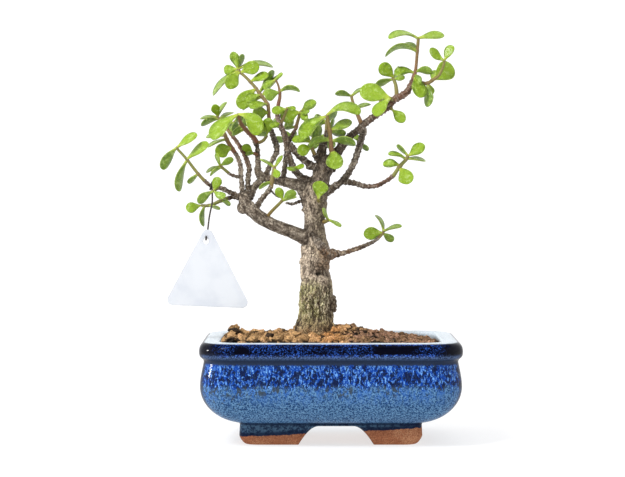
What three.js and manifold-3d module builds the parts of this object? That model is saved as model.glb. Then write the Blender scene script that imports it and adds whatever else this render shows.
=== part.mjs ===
// A dwarf jade bonsai in its glazed rectangular pot, with a blank hang tag on a wire.
// Millimetres, +Z up. The shapes are laid out round the middle of the pot, front towards -Y,
// and the finished group is shifted so that its origin is under the middle of the whole object.
import * as THREE from 'three';
import { mergeVertices } from 'three/addons/utils/BufferGeometryUtils.js';
import Module from 'manifold-3d';

const wasm = await Module();
wasm.setup();

// Pot
const POT_LENGTH = 150;
const POT_WIDTH = 110;
const POT_HEIGHT = 59;
const CORNER_RADIUS = 19;
const CORNER_SHRINK = 0.45;
const CORNER_STEPS = 3;
const FOOT_HALF_LENGTH = 53;
const FOOT_BOTTOM = -1.1;
const FOOT_HEIGHT = 11.3;
const FOOT_CHAMFER = 3;
const FOOT_WALL = 9;
const UNDERSIDE_Z = 10;
const FLOOR_Z = 16;
const MOUTH_HALF_LENGTH = 63.5;
const DRAIN_RADIUS = 5;
const DRAIN_X = 28;
const FRONT_ARCH = { left: -18.6, leftTop: -7, rightTop: 13, right: 24.6, top: 9.6 };
const SIDE_ARCH = { left: -11, leftTop: -5, rightTop: 5, right: 11, top: 9.6 };

// Fill and drain screens
const GAP = 0.3;
const SOIL_DIP = 2.4;
const SCREEN_SIDE = 17;
const SCREEN_THICKNESS = 0.9;
const SCREEN_CELLS = 3;
const SCREEN_BAR = 1.4;

// Tag and its wire
const TAG_CORNERS = [[-98.2, 78], [-46.6, 75.9], [-72.4, 126]];
const TAG_CORNER_RADIUS = 3.2;
const TAG_Y = -21;
const TAG_THICKNESS = 0.8;
const TAG_HOLE = [-73.3, 115.6, 1.7];
const WIRE_DIAMETER = 1;

// Leaves
const LEAF_THICKNESS = 1.5;
const LEAF_WIDTH_RATIO = 0.58;
const LEAF_CUP = 0.16;
const LEAF_WIDEST = 0.65;
const PETIOLE_RATIO = 0.14;
const LEAF_STATIONS = [0, 0.2, 0.42, 0.65, 0.87];
const SMALL_LEAF = 8.5;
const SMALL_LEAF_STATIONS = [0, 0.3, 0.65, 0.88];

// Rows are written as the plant is seen from straight in front: x and z on the upright plane through the
// middle of the pot, and then the depth y that the point really has. seen() carries it there along the
// line of sight of this eye point.
const EYE = new THREE.Vector3(-10.6, -1250, 152.6);

// Limbs and woody twigs: [x, z, y, diameter]
const LIMBS = {
  trunk: [[-9, 40, 0, 17], [-9.4, 52, 0, 21], [-9.9, 62, 0, 24], [-9.3, 66, 0, 21.4], [-9.1, 72, 0, 20],
    [-9.2, 79.5, 0, 20.8], [-8.6, 85, 0, 19.7], [-8.6, 91, 0, 18.6], [-9.2, 98, 0, 16.7], [-8.8, 105, 0, 16.8],
    [-8.8, 111, 0, 16.4], [-9.4, 119, 0, 14], [-9.6, 126, 0, 13], [-9, 133, 0, 14], [-9.2, 141, 0, 15.4],
    [-8, 147, 0, 14], [-5.6, 152, 0, 11.4], [-4.6, 158, 0, 10.6], [-3.4, 162, 0, 9]],
  front_ridge: [[-10.4, 119.6, -5.6, 3.2], [-8.2, 116, -7.4, 4.2], [-5, 112, -7.6, 4.8], [-1.6, 108.6, -5.6, 5.6],
    [1.6, 107.6, -1.5, 5]],
  leader: [[-4.2, 155, 0, 10], [-1.2, 161, 0, 8.6], [3.4, 167, 0, 6.4], [7, 172, -1, 5.2], [10.8, 176.6, -2, 4.2],
    [14, 179.3, -3, 4], [17, 181.4, -3.5, 4.2], [20.3, 184.6, -3, 4], [24.5, 188, -2, 4], [29.5, 191.2, 0, 3.7],
    [34.5, 194.8, 2, 3.7], [37.5, 198.6, 3, 4.1], [41, 200.5, 4, 4.2], [45, 203.3, 4, 4], [47.2, 207.6, 3, 3.3],
    [48.9, 211.6, 3, 2.8]],
  inner_spur: [[-5, 156, 0, 8], [-5.5, 162, 0, 6.6], [-5.2, 168, 1, 6], [-4.3, 172, 2, 4.8], [-3, 176.5, 3, 3],
    [-2.3, 180.5, 4, 2.3]],
  dark_spur: [[-6.5, 162, -1, 4], [-8.5, 165, -2, 3.6], [-9.5, 166.6, -2.5, 3.1]],
  dark_stub: [[-2.5, 158.5, -3, 4], [0.5, 157.9, -5, 3.4], [3, 157.5, -6, 3]],
  right_root: [[-7, 143, 0, 9], [-1, 145.3, 0, 5.2], [3, 148, -1, 4.6], [7.2, 151, -1, 4.2]],
  ringed_limb: [[5.5, 149.8, -1, 4.2], [9.5, 154, 0, 3.9], [11.7, 157.5, 1, 3.8], [13.7, 161.5, 2, 3.8],
    [15.3, 166, 3, 3.8], [16.7, 170.5, 3.5, 3.8], [17.8, 174.5, 4, 3.8], [18.9, 179, 4, 3.9], [19.2, 181.5, 4, 3.6]],
  right_arm: [[6.5, 150.2, -1, 3.7], [10.5, 150.2, -3, 3.4], [14.5, 149.5, -6, 3.2], [19, 148.1, -9, 3],
    [23, 147.6, -12, 2.8], [27, 148.1, -14, 2.7], [31, 150, -17, 2.5], [34.5, 152, -19, 2.6],
    [37.5, 154.6, -20, 2.6]],
  low_right: [[-7, 106.5, 0, 8], [0.2, 107.5, 1, 6.2], [3.4, 108, 2, 4.6], [6.5, 108.3, 4, 3.1], [10, 109.2, 6, 2.9],
    [14, 110.5, 8, 2.8], [18, 112, 10, 2.8], [22, 113.6, 12, 2.6], [25.5, 115.2, 14, 2.2], [28.5, 117.5, 15, 2]],
  low_left: [[-9, 114, 0, 11], [-16.5, 118.2, -2, 9.2], [-23, 121, -5, 8], [-30, 123.5, -7, 7.5],
    [-35, 125.6, -9, 7.5], [-40, 128.5, -11, 7.8], [-45, 132.5, -13, 8], [-49, 136.5, -14, 8],
    [-51.2, 140.6, -15, 7.2], [-52, 143, -15, 5.4]],
  tag_twig: [[-52, 141, -15, 4.6], [-56, 142.8, -16, 3.2], [-60, 144.6, -18, 2.8], [-63.5, 146.4, -19, 2.7],
    [-67.5, 147.2, -20, 2.5], [-71.5, 148.8, -21, 2.4], [-74.5, 151.4, -22, 2.2]],
  low_left_twig: [[-52, 140, -14, 4], [-56, 141.6, -13, 2.9], [-60.5, 140.7, -12, 2.5]],
  pale_twig: [[-51.8, 142, -15.5, 3.8], [-52.3, 150, -15, 3], [-52.8, 155, -13, 2.9], [-53, 160, -10, 2.8],
    [-54.5, 164.5, -7, 2.6], [-56.6, 168, -5, 2.6]],
  pale_side: [[-52.7, 153, -14, 2.4], [-56, 153.7, -16, 2.2], [-59, 154.8, -17.5, 2], [-61, 156.4, -18.5, 1.9]],
  dark_twig: [[-48.8, 140, -14, 4.4], [-48.6, 148, -12, 3.2], [-48.4, 154, -8, 3], [-47.8, 158.5, -5, 3],
    [-49, 162.3, -3, 2.9], [-51, 167, 0, 2.7], [-53.5, 171.5, 2, 2.5], [-56, 175.2, 4, 2.3], [-58, 177.6, 5, 2.1]],
  cross_twig: [[-47.5, 141, -14, 4.6], [-45.5, 146.5, -9, 4], [-42.5, 149.8, -2, 3.8], [-40, 153, 5, 3.6]],
  upper_left: [[-8, 145.5, 0, 10.5], [-12.5, 147.2, 1, 8], [-17, 148, 2, 8], [-22, 149.2, 3, 7.2],
    [-27, 150.4, 4, 6.1], [-32, 151.5, 5, 5.1], [-36, 152.2, 6, 5], [-40, 153.5, 6, 5.2], [-42.6, 156, 6, 4.4],
    [-42.6, 160, 6, 3.4], [-42.9, 165, 6, 3.2], [-43.1, 170, 5, 3.1], [-43.6, 174.4, 4, 3]],
  upper_buttress: [[-14.5, 137, 0, 5], [-16, 143, 1, 5.4], [-19.5, 148, 2, 5]],
  thin_twig: [[-15.5, 139.2, 0, 2.4], [-19, 138.6, -5, 2], [-22.5, 137.3, -9, 1.8], [-26, 138, -12, 1.6]],
  fork_twig: [[-43.5, 135, -13, 4], [-41, 139.7, -14, 3.2], [-38.5, 142.6, -15, 3.1], [-36.5, 145, -15, 3],
    [-35, 148, -15, 2.8]],
  bent_twig: [[-35.8, 146.2, -15, 2], [-34, 144.2, -15, 1.5], [-32, 142.3, -15, 1.4], [-29.8, 140.9, -15, 1.3]],
  low_spray_twig: [[-38, 128.6, -10, 3], [-36.9, 130.8, -11.5, 2.4]],
  arch_limb: [[-7, 150, -1, 5], [-12.6, 151.6, -2, 4], [-17, 153.2, -3, 4], [-20.5, 156.5, -3, 4],
    [-23, 161, -4, 4], [-25, 166.5, -4, 4]],
  olive_limb: [[-5, 157.6, -2, 5], [-9.5, 159.4, -3, 4.2], [-13, 161.4, -4, 4], [-16.5, 164, -5, 4],
    [-20, 167.5, -5, 4], [-24, 172.3, -4, 3.8]],
  ringed_spur: [[-28, 151, 4, 3.6], [-27.2, 157, 3, 3.2], [-26.2, 163, 0, 3.4], [-25.4, 168, -3, 3.9],
    [-25.6, 173, -4, 4], [-27.5, 179, -5, 3.6], [-29, 182.8, -5.5, 3.2], [-31, 188, -6, 2.8], [-31.5, 193, -7, 2.6]],
  middle_spur: [[-25, 173, -4, 3], [-22.4, 178, -1, 2.4], [-20.3, 182, 0, 2.2]],
  pale_spur: [[-38.2, 153.2, 6, 3.6], [-35.5, 160.5, 5, 3], [-33.3, 164.8, 4, 3], [-31.6, 168.5, 4, 3.4],
    [-31.8, 171.5, 4, 3.5], [-33.6, 176.5, 6, 3.3], [-35.2, 181.5, 8, 3], [-36.1, 186.5, 9.5, 2.6]],
  back_limb: [[-8, 131, 3, 7], [-7.5, 139, 12, 5.5], [-6.5, 147, 20, 5], [-5.5, 155, 27, 4.4], [-5, 162, 32, 4],
    [-4.5, 168, 36, 3.2]],
  back_left_twig: [[-5.6, 154, 26, 3.6], [-10, 159.5, 31, 3.1], [-15, 163, 34, 2.9], [-20, 167.3, 37, 2.6],
    [-23.5, 171.5, 39, 2.4]],
  back_far_twig: [[-43.2, 171, 4.5, 3], [-45.4, 176, 11, 2.6], [-49.4, 180.2, 19, 2.3]],
};
const LIMB_SIDES = { trunk: 14, leader: 8, low_left: 9, upper_left: 8 };
const TWIG_SIDES = 6;

// Surface roots at the foot of the trunk: [turn in degrees, reach, thickness]
const ROOTS = [[-168, 11.6, 6.4], [-118, 11, 6], [-62, 11, 6.6], [-8, 13, 7], [48, 12, 6.5], [115, 12, 7]];

// Swellings of the bark: [x, z, y, half width, half height, half depth]
const KNOBS = [[1.3, 79.2, -1, 3, 4.2, 4], [1.2, 108.2, 0, 3.2, 3.1, 3.2], [-51.6, 135.4, -13.5, 3.6, 4, 4],
  [-12, 159.8, -3.5, 2.6, 2.6, 2.6], [19.2, 180, 4, 2.4, 2.4, 2.2], [-16.2, 134, -1, 1.4, 1.6, 1.6],
  [-16.6, 103.5, -1, 1.8, 2.4, 2.4]];
const HOLLOW = [-6, 96.6, -9.2, 3.4, 2.2, 3];

// Leafy shoots. stem: [x, z, y, diameter]. leaves: [base x, base z, tip x, tip z, tip depth past the base,
// width as seen, bulge of the arch, 1 if the upper face shows and -1 if the lower one does].
const SHOOTS = {
  shoot_far_left: {
    stem: [[-74.2, 151, -22, 2.1], [-77.5, 154.6, -22.5, 1.9], [-81, 159, -23, 1.8], [-84.5, 163.6, -24, 1.7],
      [-87.5, 167, -24.5, 1.6], [-90, 169.8, -25, 1.5], [-90.6, 171.3, -25, 1.3]],
    leaves: [[-90, 170.6, -78.3, 178, -3, 4.7, 0.5, 1], [-90.4, 170.6, -98.3, 157.4, 2, 5.5, 1, -1],
      [-84.5, 163.6, -71.5, 172.5, -5, 5, 0.5, 1], [-84.5, 163.2, -88.5, 144.8, 4, 4.3, 1.5, -1],
      [-77.8, 155, -83, 149.2, 5, 2.8, 0.5, -1]],
  },
  shoot_over_tag: {
    stem: [[-66.4, 147, -20, 2.1], [-68, 145.6, -23, 1.9], [-69.3, 144.8, -25, 1.7]],
    leaves: [[-68.8, 145.2, -65.3, 153, -1, 5.5, 0.3, 1], [-69.2, 144.8, -77.8, 137.7, -2, 5, 0.6, -1],
      [-68.8, 144.9, -61.8, 141.8, -4, 4.5, 0.5, -1]],
  },
  shoot_low_left: {
    stem: [[-59.8, 141, -12, 2.4], [-65, 139.1, -11, 2.2], [-70, 136.9, -10, 1.9], [-74.5, 136.3, -9, 1.7],
      [-76.3, 136.6, -8.5, 1.5]],
    leaves: [[-76, 136.5, -85, 134.3, 3, 6, 0.2, 1], [-74.2, 136.2, -74.8, 124.1, -4, 2.9, 0.8, -1],
      [-64, 139.4, -58.8, 137.6, -5, 3, 0, 1], [-71.8, 136.6, -65.3, 135.4, -6, 1.8, 0.3, 1]],
  },
  shoot_left_bud: {
    stem: [[-60.2, 155.8, -18.2, 1.9], [-63.2, 158.3, -20, 1.7], [-64.6, 159.4, -21, 1.6],
      [-65.1, 160.4, -21.4, 1.4]],
    leaves: [[-65, 160, -66.6, 167.2, -4, 2.3, 0.3, 1], [-64.6, 159.8, -57, 163.4, 3, 4, 0.5, -1],
      [-64.8, 159.4, -73.2, 155.8, 2, 1.8, 0.5, 1], [-64.2, 159, -70.9, 154, -5, 1.8, 0.5, -1]],
  },
  shoot_left_middle: {
    stem: [[-56.2, 167.4, -5.3, 2.6], [-59.5, 172.5, -4, 2.6], [-61.3, 176, -3.5, 2.4], [-62.6, 179.6, -3, 1.8]],
    leaves: [[-61, 175.4, -72.2, 170.6, -2, 1.6, 0.8, 1], [-61.8, 177.6, -73.2, 176.8, 4, 3, 0.4, 1],
      [-56.4, 170.5, -67, 166, -6, 8.2, 1.4, 1], [-62.5, 179.2, -60.6, 186.6, 2, 4, 0.2, -1]],
  },
  shoot_left_crown: {
    stem: [[-57.6, 177.1, 4.8, 2], [-61, 181.6, 6, 1.9], [-64, 185.3, 7, 1.7], [-66.5, 188.5, 8, 1.5],
      [-66.9, 189.6, 8.2, 1.2]],
    leaves: [[-66.4, 188.6, -61, 197.4, 3, 2, 0.5, 1], [-66.7, 188.8, -68.8, 195.8, -5, 5, 0.3, 1],
      [-66.5, 188.4, -76.7, 187.4, 3, 1.6, 0.5, 1], [-65.8, 187.6, -76.2, 183.6, -4, 3.5, 0.5, -1],
      [-65.5, 187.2, -57.3, 191.2, 6, 1.8, 0.5, 1], [-58.8, 178.8, -54.2, 184.6, 6, 4, 0.3, -1]],
  },
  shoot_left_drooping: {
    stem: [[-43.4, 173.8, 4, 2.8], [-45.2, 176.6, 2, 2.7], [-47.5, 178.8, 0, 2.6], [-50, 181.3, -3, 2.4],
      [-52.3, 184.2, -6, 2.2], [-53.5, 187, -9, 2], [-54.3, 189.6, -11, 1.8], [-54.5, 190.6, -11.6, 1.4]],
    leaves: [[-54.4, 189.8, -69, 175, -5, 8, 2, 1], [-54.3, 190, -44.3, 177.6, -6, 9, 4.5, 1],
      [-52.2, 184, -56.7, 177.6, 3, 2.8, 0.3, -1]],
  },
  shoot_left_inner: {
    stem: [[-43, 173.2, 4.5, 2.1], [-40, 174.4, 2.5, 2], [-38.3, 176.3, 0.5, 1.9], [-37.5, 178, -0.5, 1.8]],
    leaves: [[-37.6, 177.6, -36.2, 188, -4, 6.8, 0, 1], [-37.6, 177.4, -42, 178.6, -8, 3.5, 0.2, -1]],
  },
  shoot_left_stub: {
    stem: [[-43.2, 166.4, 5, 2.1], [-45.6, 167.3, 3, 1.8]],
    leaves: [[-45.4, 167.3, -51.5, 171.8, -4, 4, 0.3, 1], [-45.2, 167.1, -50.2, 166, -5, 2.5, 0.3, -1]],
  },
  shoot_top_left: {
    stem: [[-35.8, 185, 9, 2.5], [-36.4, 190, 10, 2.3], [-37, 196, 11, 2.2], [-38.5, 198.2, 12, 2.2],
      [-41, 201.3, 13, 2.1], [-44, 205.5, 15, 2], [-47, 209, 16, 1.9], [-50, 212, 17, 1.8], [-53, 214.7, 18, 1.7],
      [-54.9, 217, 18.5, 1.5]],
    leaves: [[-54.4, 216.4, -57.6, 226.8, -3, 5.5, -0.5, 1], [-54.7, 216.8, -50.6, 224.7, 5, 3.6, 0.3, -1],
      [-54.6, 216.6, -62.6, 215.4, 6, 6, 0.3, 1], [-53.2, 214.9, -59.7, 204.9, -5, 8, 1, 1],
      [-53.8, 215.7, -69, 201, 4, 3.3, 1.5, 1], [-54.6, 216.6, -33.8, 217.6, 4, 2.8, 2.5, 1],
      [-52.8, 214.5, -41.8, 218.2, -6, 8, 0.8, 1], [-47.2, 209.2, -36.4, 212.9, -3, 5, 0.5, 1],
      [-42, 202.8, -33, 215.5, 5, 4.5, -0.5, -1], [-43.6, 205, -52.8, 193.2, -4, 9, 1.5, 1],
      [-40.2, 200.4, -51.7, 192.6, 4, 3, 1, 1], [-41, 201.3, -49.9, 198, -5, 5.5, 0.5, 1],
      [-36.4, 191, -45.8, 190, -9, 8, 0.6, 1]],
  },
  shoot_top_middle: {
    stem: [[-31.4, 191.6, -6.8, 2.5], [-30.4, 197.3, -7, 2.2], [-29.8, 200, -7.5, 2], [-29.9, 203.3, -8, 1.8],
      [-30.4, 206, -8.5, 1.3], [-31.3, 208.6, -9, 1.2], [-32.6, 210.7, -9.5, 1.1]],
    leaves: [[-32.2, 210.2, -28, 214.1, -2, 1.9, 0.2, 1], [-32.3, 210.2, -39.2, 204.8, 3, 4.5, 0.5, 1],
      [-29.8, 203.4, -18, 203.4, -4, 3, 2, -1], [-29.8, 203, -38.6, 200.4, -6, 7, 0.4, -1]],
  },
  shoot_middle_upper: {
    stem: [[-20.6, 181.2, 0, 2.2], [-19.3, 186, 1, 2], [-18.2, 189.6, 0.5, 1.8], [-17.4, 192.2, 0, 1.5]],
    leaves: [[-17.5, 191.8, -9.3, 198.4, 4, 5.6, -0.5, 1], [-18, 190, -12.4, 191.6, -5, 3, 0.3, 1],
      [-17.8, 191, -28.6, 186.4, -4, 8, 1.4, 1], [-20.2, 182.9, -26.6, 181.3, 4, 2, 0.2, -1]],
  },
  shoot_middle_side: {
    stem: [[-29.6, 184, -5.6, 2], [-27.4, 188.6, -7.4, 1.8], [-25.9, 192.8, -8.5, 1.6], [-25.6, 194.3, -8.8, 1.3]],
    leaves: [[-25.9, 193, -34.3, 191.2, -4, 5, 0.5, 1], [-25.7, 193.8, -20.6, 193, -3, 2.5, 0.2, 1]],
  },
  shoot_middle_low: {
    stem: [[-35.1, 146.6, -15, 2.7], [-34, 153.5, -14, 2.4], [-33.2, 157.8, -13, 2], [-32.8, 159.6, -12.6, 1.6]],
    leaves: [[-32.9, 159.2, -28.5, 166, 3, 2, -0.3, 1], [-33.2, 158.2, -31.2, 152.8, -5, 4.5, 0.3, 1],
      [-33, 158.8, -41.6, 163.8, 3, 1.2, 0.3, 1], [-34.6, 150.6, -42.2, 146.2, -3, 2, 0.3, -1]],
  },
  shoot_middle_bud: {
    stem: [[-20.9, 157.4, -3.4, 2], [-21.2, 158.8, -8, 1.7]],
    leaves: [[-21.2, 158.6, -24, 157, -9, 4, 0.2, 1], [-21.2, 158.6, -15.6, 159.2, -5, 3, 0.2, 1]],
  },
  shoot_lower_middle: {
    stem: [[-37.4, 129.8, -10.6, 2.2], [-34.5, 133.2, -14, 2], [-32, 135.7, -17, 1.9], [-29.6, 138.1, -20, 1.8],
      [-28, 139.9, -21.5, 1.5]],
    leaves: [[-28.2, 139.6, -31.8, 146.7, -3, 5, 0.4, 1], [-28.1, 139.7, -20.4, 144.5, -4, 5, 0.3, -1],
      [-28.6, 139, -20, 141.6, 4, 1.5, 0.2, 1]],
  },
  shoot_heart_left: {
    stem: [[-9, 165.8, -2, 2.6], [-10.9, 170.2, -5, 2.1], [-11.6, 173, -7, 1.8], [-11.7, 174.3, -7.5, 1.4]],
    leaves: [[-11.6, 173.4, -22.6, 174.6, 2, 4.6, 1.2, 1], [-10.8, 170.4, -19.2, 167.4, -6, 6.8, 0.6, 1],
      [-11.7, 173.8, -5.6, 183.2, 5, 5.6, -0.5, -1], [-11.6, 173.6, -16.6, 178.6, 6, 4, 0.2, -1]],
  },
  shoot_heart_tall: {
    stem: [[1.1, 165.8, -1, 3], [0.7, 168.6, -5, 2.9], [0.3, 172, -6.5, 2.7], [0.1, 175, -7, 2.6],
      [-0.5, 180, -8, 2.5], [-1.4, 185.3, -9, 2.4], [-2, 188.6, -9.5, 2.2], [-2.2, 190, -9.8, 1.8]],
    leaves: [[-2.1, 188.8, -16.3, 175.6, -4, 7.5, 2.5, 1], [-2.1, 189.4, 17.3, 190.2, -3, 5.5, 4.3, 1],
      [0.1, 174.4, -12.4, 170.4, -5, 4.5, 2.4, -1], [0.1, 174.4, 14.8, 172.3, -4, 5, 1, -1],
      [-0.6, 180.6, 12.3, 186.2, 3, 5.5, -0.3, 1], [-0.5, 180.2, 2.2, 187, 7, 2, 0, -1],
      [-0.5, 180, 8.4, 177.6, 7, 4.5, 0.3, -1], [0.6, 169.4, 2.3, 157.8, -4, 10, 0.8, 1]],
  },
  shoot_heart_back: {
    stem: [[-2.6, 179.2, 3.6, 2.1], [-2.5, 184.6, 6, 1.6], [-2.5, 186.3, 7, 1.3]],
    leaves: [[-2.5, 185, -6.4, 184.6, 3, 1.6, 0.1, 1], [-2.5, 185.8, -9.5, 187.5, 8, 5, 0.3, -1],
      [-2.5, 186, 4, 191.5, 8, 5, 0.3, -1]],
  },
  shoot_trunk_front: {
    stem: [[-7, 138.6, -5.5, 2.3], [-7.1, 140.8, -10, 2.1]],
    leaves: [[-7.1, 140.6, -4.9, 150.7, -1, 9, 0.3, 1]],
  },
  shoot_trunk_bud: {
    stem: [[-4, 126.7, -4, 2.5], [-1, 128, -7, 2]],
    leaves: [[-1.2, 127.9, -4.6, 135, -3, 2, -0.3, 1], [-1.1, 128, 5.9, 123.8, -4, 2.1, 0.4, 1]],
  },
  shoot_low_right: {
    stem: [[27.8, 117, 14.8, 2], [30.4, 119.8, 15.5, 1.8], [31.3, 121.4, 16, 1.5]],
    leaves: [[30.8, 120.4, 19.6, 119, -5, 7.5, 0.5, 1], [30.6, 120.2, 36.5, 115, 4, 4.6, 0.4, -1],
      [31.2, 121, 26.2, 130.8, 3, 2, 1.4, 1], [31.2, 121.2, 42, 124, -3, 2.2, 0.8, 1]],
  },
  shoot_right: {
    stem: [[36.8, 153.6, -19.8, 2.5], [40, 158.4, -21, 2.2], [42, 160.9, -21.5, 2.2], [44.3, 163.4, -22, 2],
      [45.3, 165.2, -22.3, 1.7], [45.6, 166.4, -22.5, 1.4]],
    leaves: [[40.4, 158.8, 45.3, 148.9, -4, 8.7, 1, 1], [41.2, 159.8, 30.8, 160.6, 3, 4.9, 0.8, 1],
      [44.4, 163.6, 34, 166.4, -3, 2.3, 1.3, 1], [44.6, 164, 56, 162.6, 3, 2, 0.5, 1],
      [45.4, 165.4, 54.8, 172.7, 2, 6.4, -0.4, 1], [45.4, 165.8, 38.8, 171.5, 5, 2.4, 0.2, -1]],
  },
  shoot_top_right: {
    stem: [[48.3, 210.2, 3, 2.6], [50, 216.2, 3, 2], [50.5, 221, 2.5, 1.9], [51, 227.5, 2, 1.9],
      [51.5, 233.6, 1.5, 1.8], [51.6, 235, 1.4, 1.5]],
    leaves: [[51.6, 234.4, 34.2, 234.4, -3, 2.9, 3, 1], [51.6, 234.8, 66.8, 236.4, 3, 4.6, 0.3, 1],
      [50.9, 226.8, 32.2, 223.8, -4, 3, 4.2, -1], [51, 227.4, 43.4, 231.8, 7, 3.5, 0.6, 1],
      [49.8, 214.8, 59.7, 214.3, -2, 4.6, 1.3, -1], [49.5, 214, 37.9, 213.2, -3, 4.8, 2, 1],
      [49, 212.4, 52.4, 199.8, -9, 8.2, 1, 1], [49.4, 213.6, 53, 208, -5, 3.5, 0.3, -1]],
  },
  shoot_far_right: {
    stem: [[47.6, 209.6, 3.4, 2.5], [50.6, 210, 4.6, 2.3], [53.5, 208.6, 3, 2.3], [57, 208.3, 1, 2.2],
      [60.3, 210.4, -1, 1.9], [63.6, 212.8, -3, 1.7], [65.6, 216.4, -4, 1.6], [66.9, 221, -5, 1.5],
      [67, 222.3, -5.2, 1.3]],
    leaves: [[66.9, 221.6, 71.4, 230.6, 2, 5.4, 0, 1], [66.9, 221.6, 58.5, 228.8, -3, 5, -0.9, 1],
      [60, 210.1, 71.8, 218.4, 6.5, 11.2, 0, 1], [59.5, 209.8, 61.6, 216, 4, 4.5, 0, -1],
      [57, 208.3, 57.1, 194.4, -3, 5.2, 0.2, -1], [57.2, 208.4, 59, 201.5, 5, 5, 0.2, 1]],
  },
  shoot_leader_side: {
    stem: [[38.9, 200, 4, 2.7], [38.7, 204.5, 8, 2.4], [38.2, 207.6, 10.5, 2.1], [37.2, 210.6, 12.5, 1.9],
      [36.9, 211.8, 13, 1.5]],
    leaves: [[36.9, 211.4, 28.8, 219, -3, 8, 0.5, 1], [37.1, 210.8, 26.8, 206.2, 3, 3.9, 0.6, -1],
      [37.2, 210.6, 43.6, 211.2, -4, 3.2, 0.3, 1], [36.9, 211.6, 41.5, 216.5, 8, 4, 0.3, -1]],
  },
  shoot_leader_front: {
    stem: [[36.8, 198.2, 3, 2.2], [35.8, 199, -1, 2], [35.2, 199.6, -3.2, 1.7]],
    leaves: [[35.5, 199.3, 17.2, 204, 3, 10.5, 0.5, 1], [35.3, 199.5, 26.6, 188.8, -5, 6.6, 1, 1],
      [35.5, 199.4, 30.8, 200.2, 8, 2.6, 0.6, -1]],
  },
  shoot_leader_under: {
    stem: [[34.6, 194.9, 2, 2.1], [36.2, 192.7, 0.5, 1.9]],
    leaves: [[35.9, 193, 43.3, 185.4, -2, 6.2, 0.3, 1]],
  },
  shoot_right_inner: {
    stem: [[19.2, 180.4, 4, 2.9], [17.7, 185.6, 5, 2.7], [16.4, 188.6, 6, 2.4], [14.8, 192.6, 7, 2.1],
      [13.2, 197, 8, 1.8], [12.4, 200.2, 8.5, 1.6], [12.3, 201.3, 8.6, 1.3]],
    leaves: [[12.3, 200.8, 2.8, 202.5, -4, 3.6, 0.3, -1], [12.4, 200.8, 20.3, 205.7, 4, 1.8, 0.4, 1],
      [14.6, 193.2, 23.4, 196.1, 5, 2.3, 0.4, 1]],
  },
  shoot_right_bud: {
    stem: [[17.4, 172.6, 3.8, 1.9], [17.4, 173.8, 8.4, 1.6]],
    leaves: [[17.4, 173.6, 13.2, 178.4, 4, 3.6, 0.2, 1], [17.4, 173.4, 21.8, 168.5, 3, 3, 0.2, -1]],
  },
  shoot_back_top: {
    stem: [[-4.6, 167, 35.2, 2.8], [-5.5, 173, 39, 2.3], [-7.5, 177, 41, 2], [-9.5, 181, 42.5, 1.7],
      [-10, 182.4, 43, 1.4]],
    leaves: [[-5.5, 173, -13, 170, -5, 4.5, 0.4, 1], [-5.5, 173, 2.5, 171, 6, 5, 0.4, -1],
      [-7.3, 176.8, -14, 180.4, 7, 5, 0.3, -1], [-7.5, 177, -1.2, 176, -6, 4, 0.3, 1],
      [-9.9, 182, -15.6, 186.4, 5, 5, 0.3, -1], [-9.9, 182, -3.8, 187.2, 6, 5, 0.3, -1]],
  },
  shoot_back_left: {
    stem: [[-22.8, 170.6, 38.6, 2.4], [-25.5, 176, 41, 1.9], [-27.5, 180, 42, 1.6], [-28, 181.4, 42.3, 1.3]],
    leaves: [[-25.4, 175.8, -19.8, 178.6, 7, 4, 0.3, -1], [-25.4, 175.8, -32.6, 174.2, 6, 4.4, 0.3, -1],
      [-27.9, 181, -21.6, 186.4, 5, 5, 0.3, -1], [-27.9, 181, -33.6, 187, 5, 5, 0.3, -1],
      [-27.9, 180.8, -25.2, 175.6, -7, 5, 0.3, 1]],
  },
  shoot_back_far_left: {
    stem: [[-48.6, 179.4, 17.6, 2.3], [-51.5, 182, 23, 2], [-54.5, 184, 28, 1.8], [-57, 185.6, 31, 1.5]],
    leaves: [[-52.4, 182.6, -59.6, 179.4, 5, 5, 0.3, -1], [-52.4, 182.6, -47.4, 187.2, 6, 5, 0.3, -1],
      [-56.8, 185.4, -63.4, 181.6, 6, 5, 0.3, -1], [-56.8, 185.4, -50.6, 188.6, 6, 4.6, 0.3, -1],
      [-56.6, 185.4, -56.4, 177.6, -6, 5, 0.3, 1]],
  },
  shoot_back_low: {
    stem: [[-9, 112, 5, 2.8], [-9, 115.5, 12, 2.4], [-8.8, 119, 17, 2.1], [-8.6, 123, 21, 1.8],
      [-8.5, 124.4, 22, 1.4]],
    leaves: [[-9, 116, -14.6, 119.6, 5, 5, 0.3, -1], [-9, 116, -4.4, 112.4, 6, 5, 0.3, -1],
      [-8.7, 120.4, -9.4, 127.8, 9, 5, 0.3, -1], [-8.6, 124, -13.6, 129, 4, 5, 0.3, -1],
      [-8.6, 124, -4.4, 129.6, 6, 5, 0.3, -1]],
  },
  shoot_back_right: {
    stem: [[29.7, 191, 0.5, 2.3], [30, 195, 9, 2], [29, 198.5, 15, 1.8], [27, 201.5, 20, 1.6],
      [26.3, 202.8, 21.5, 1.3]],
    leaves: [[29.9, 195.6, 27.4, 190.8, 6, 4.4, 0.3, -1], [27.4, 201, 20.8, 202, 6, 5, 0.3, -1],
      [26.5, 202.4, 24.4, 207.2, 8, 4.5, 0.3, -1], [27.2, 201.2, 31, 197.6, 8, 3.6, 0.3, -1]],
  },
};
const STEM_SIDES = 5;

// Corners that stand off a straight edge by less than this are left out of a joined solid.
const SMALLEST_STEP = 0.05;

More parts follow.
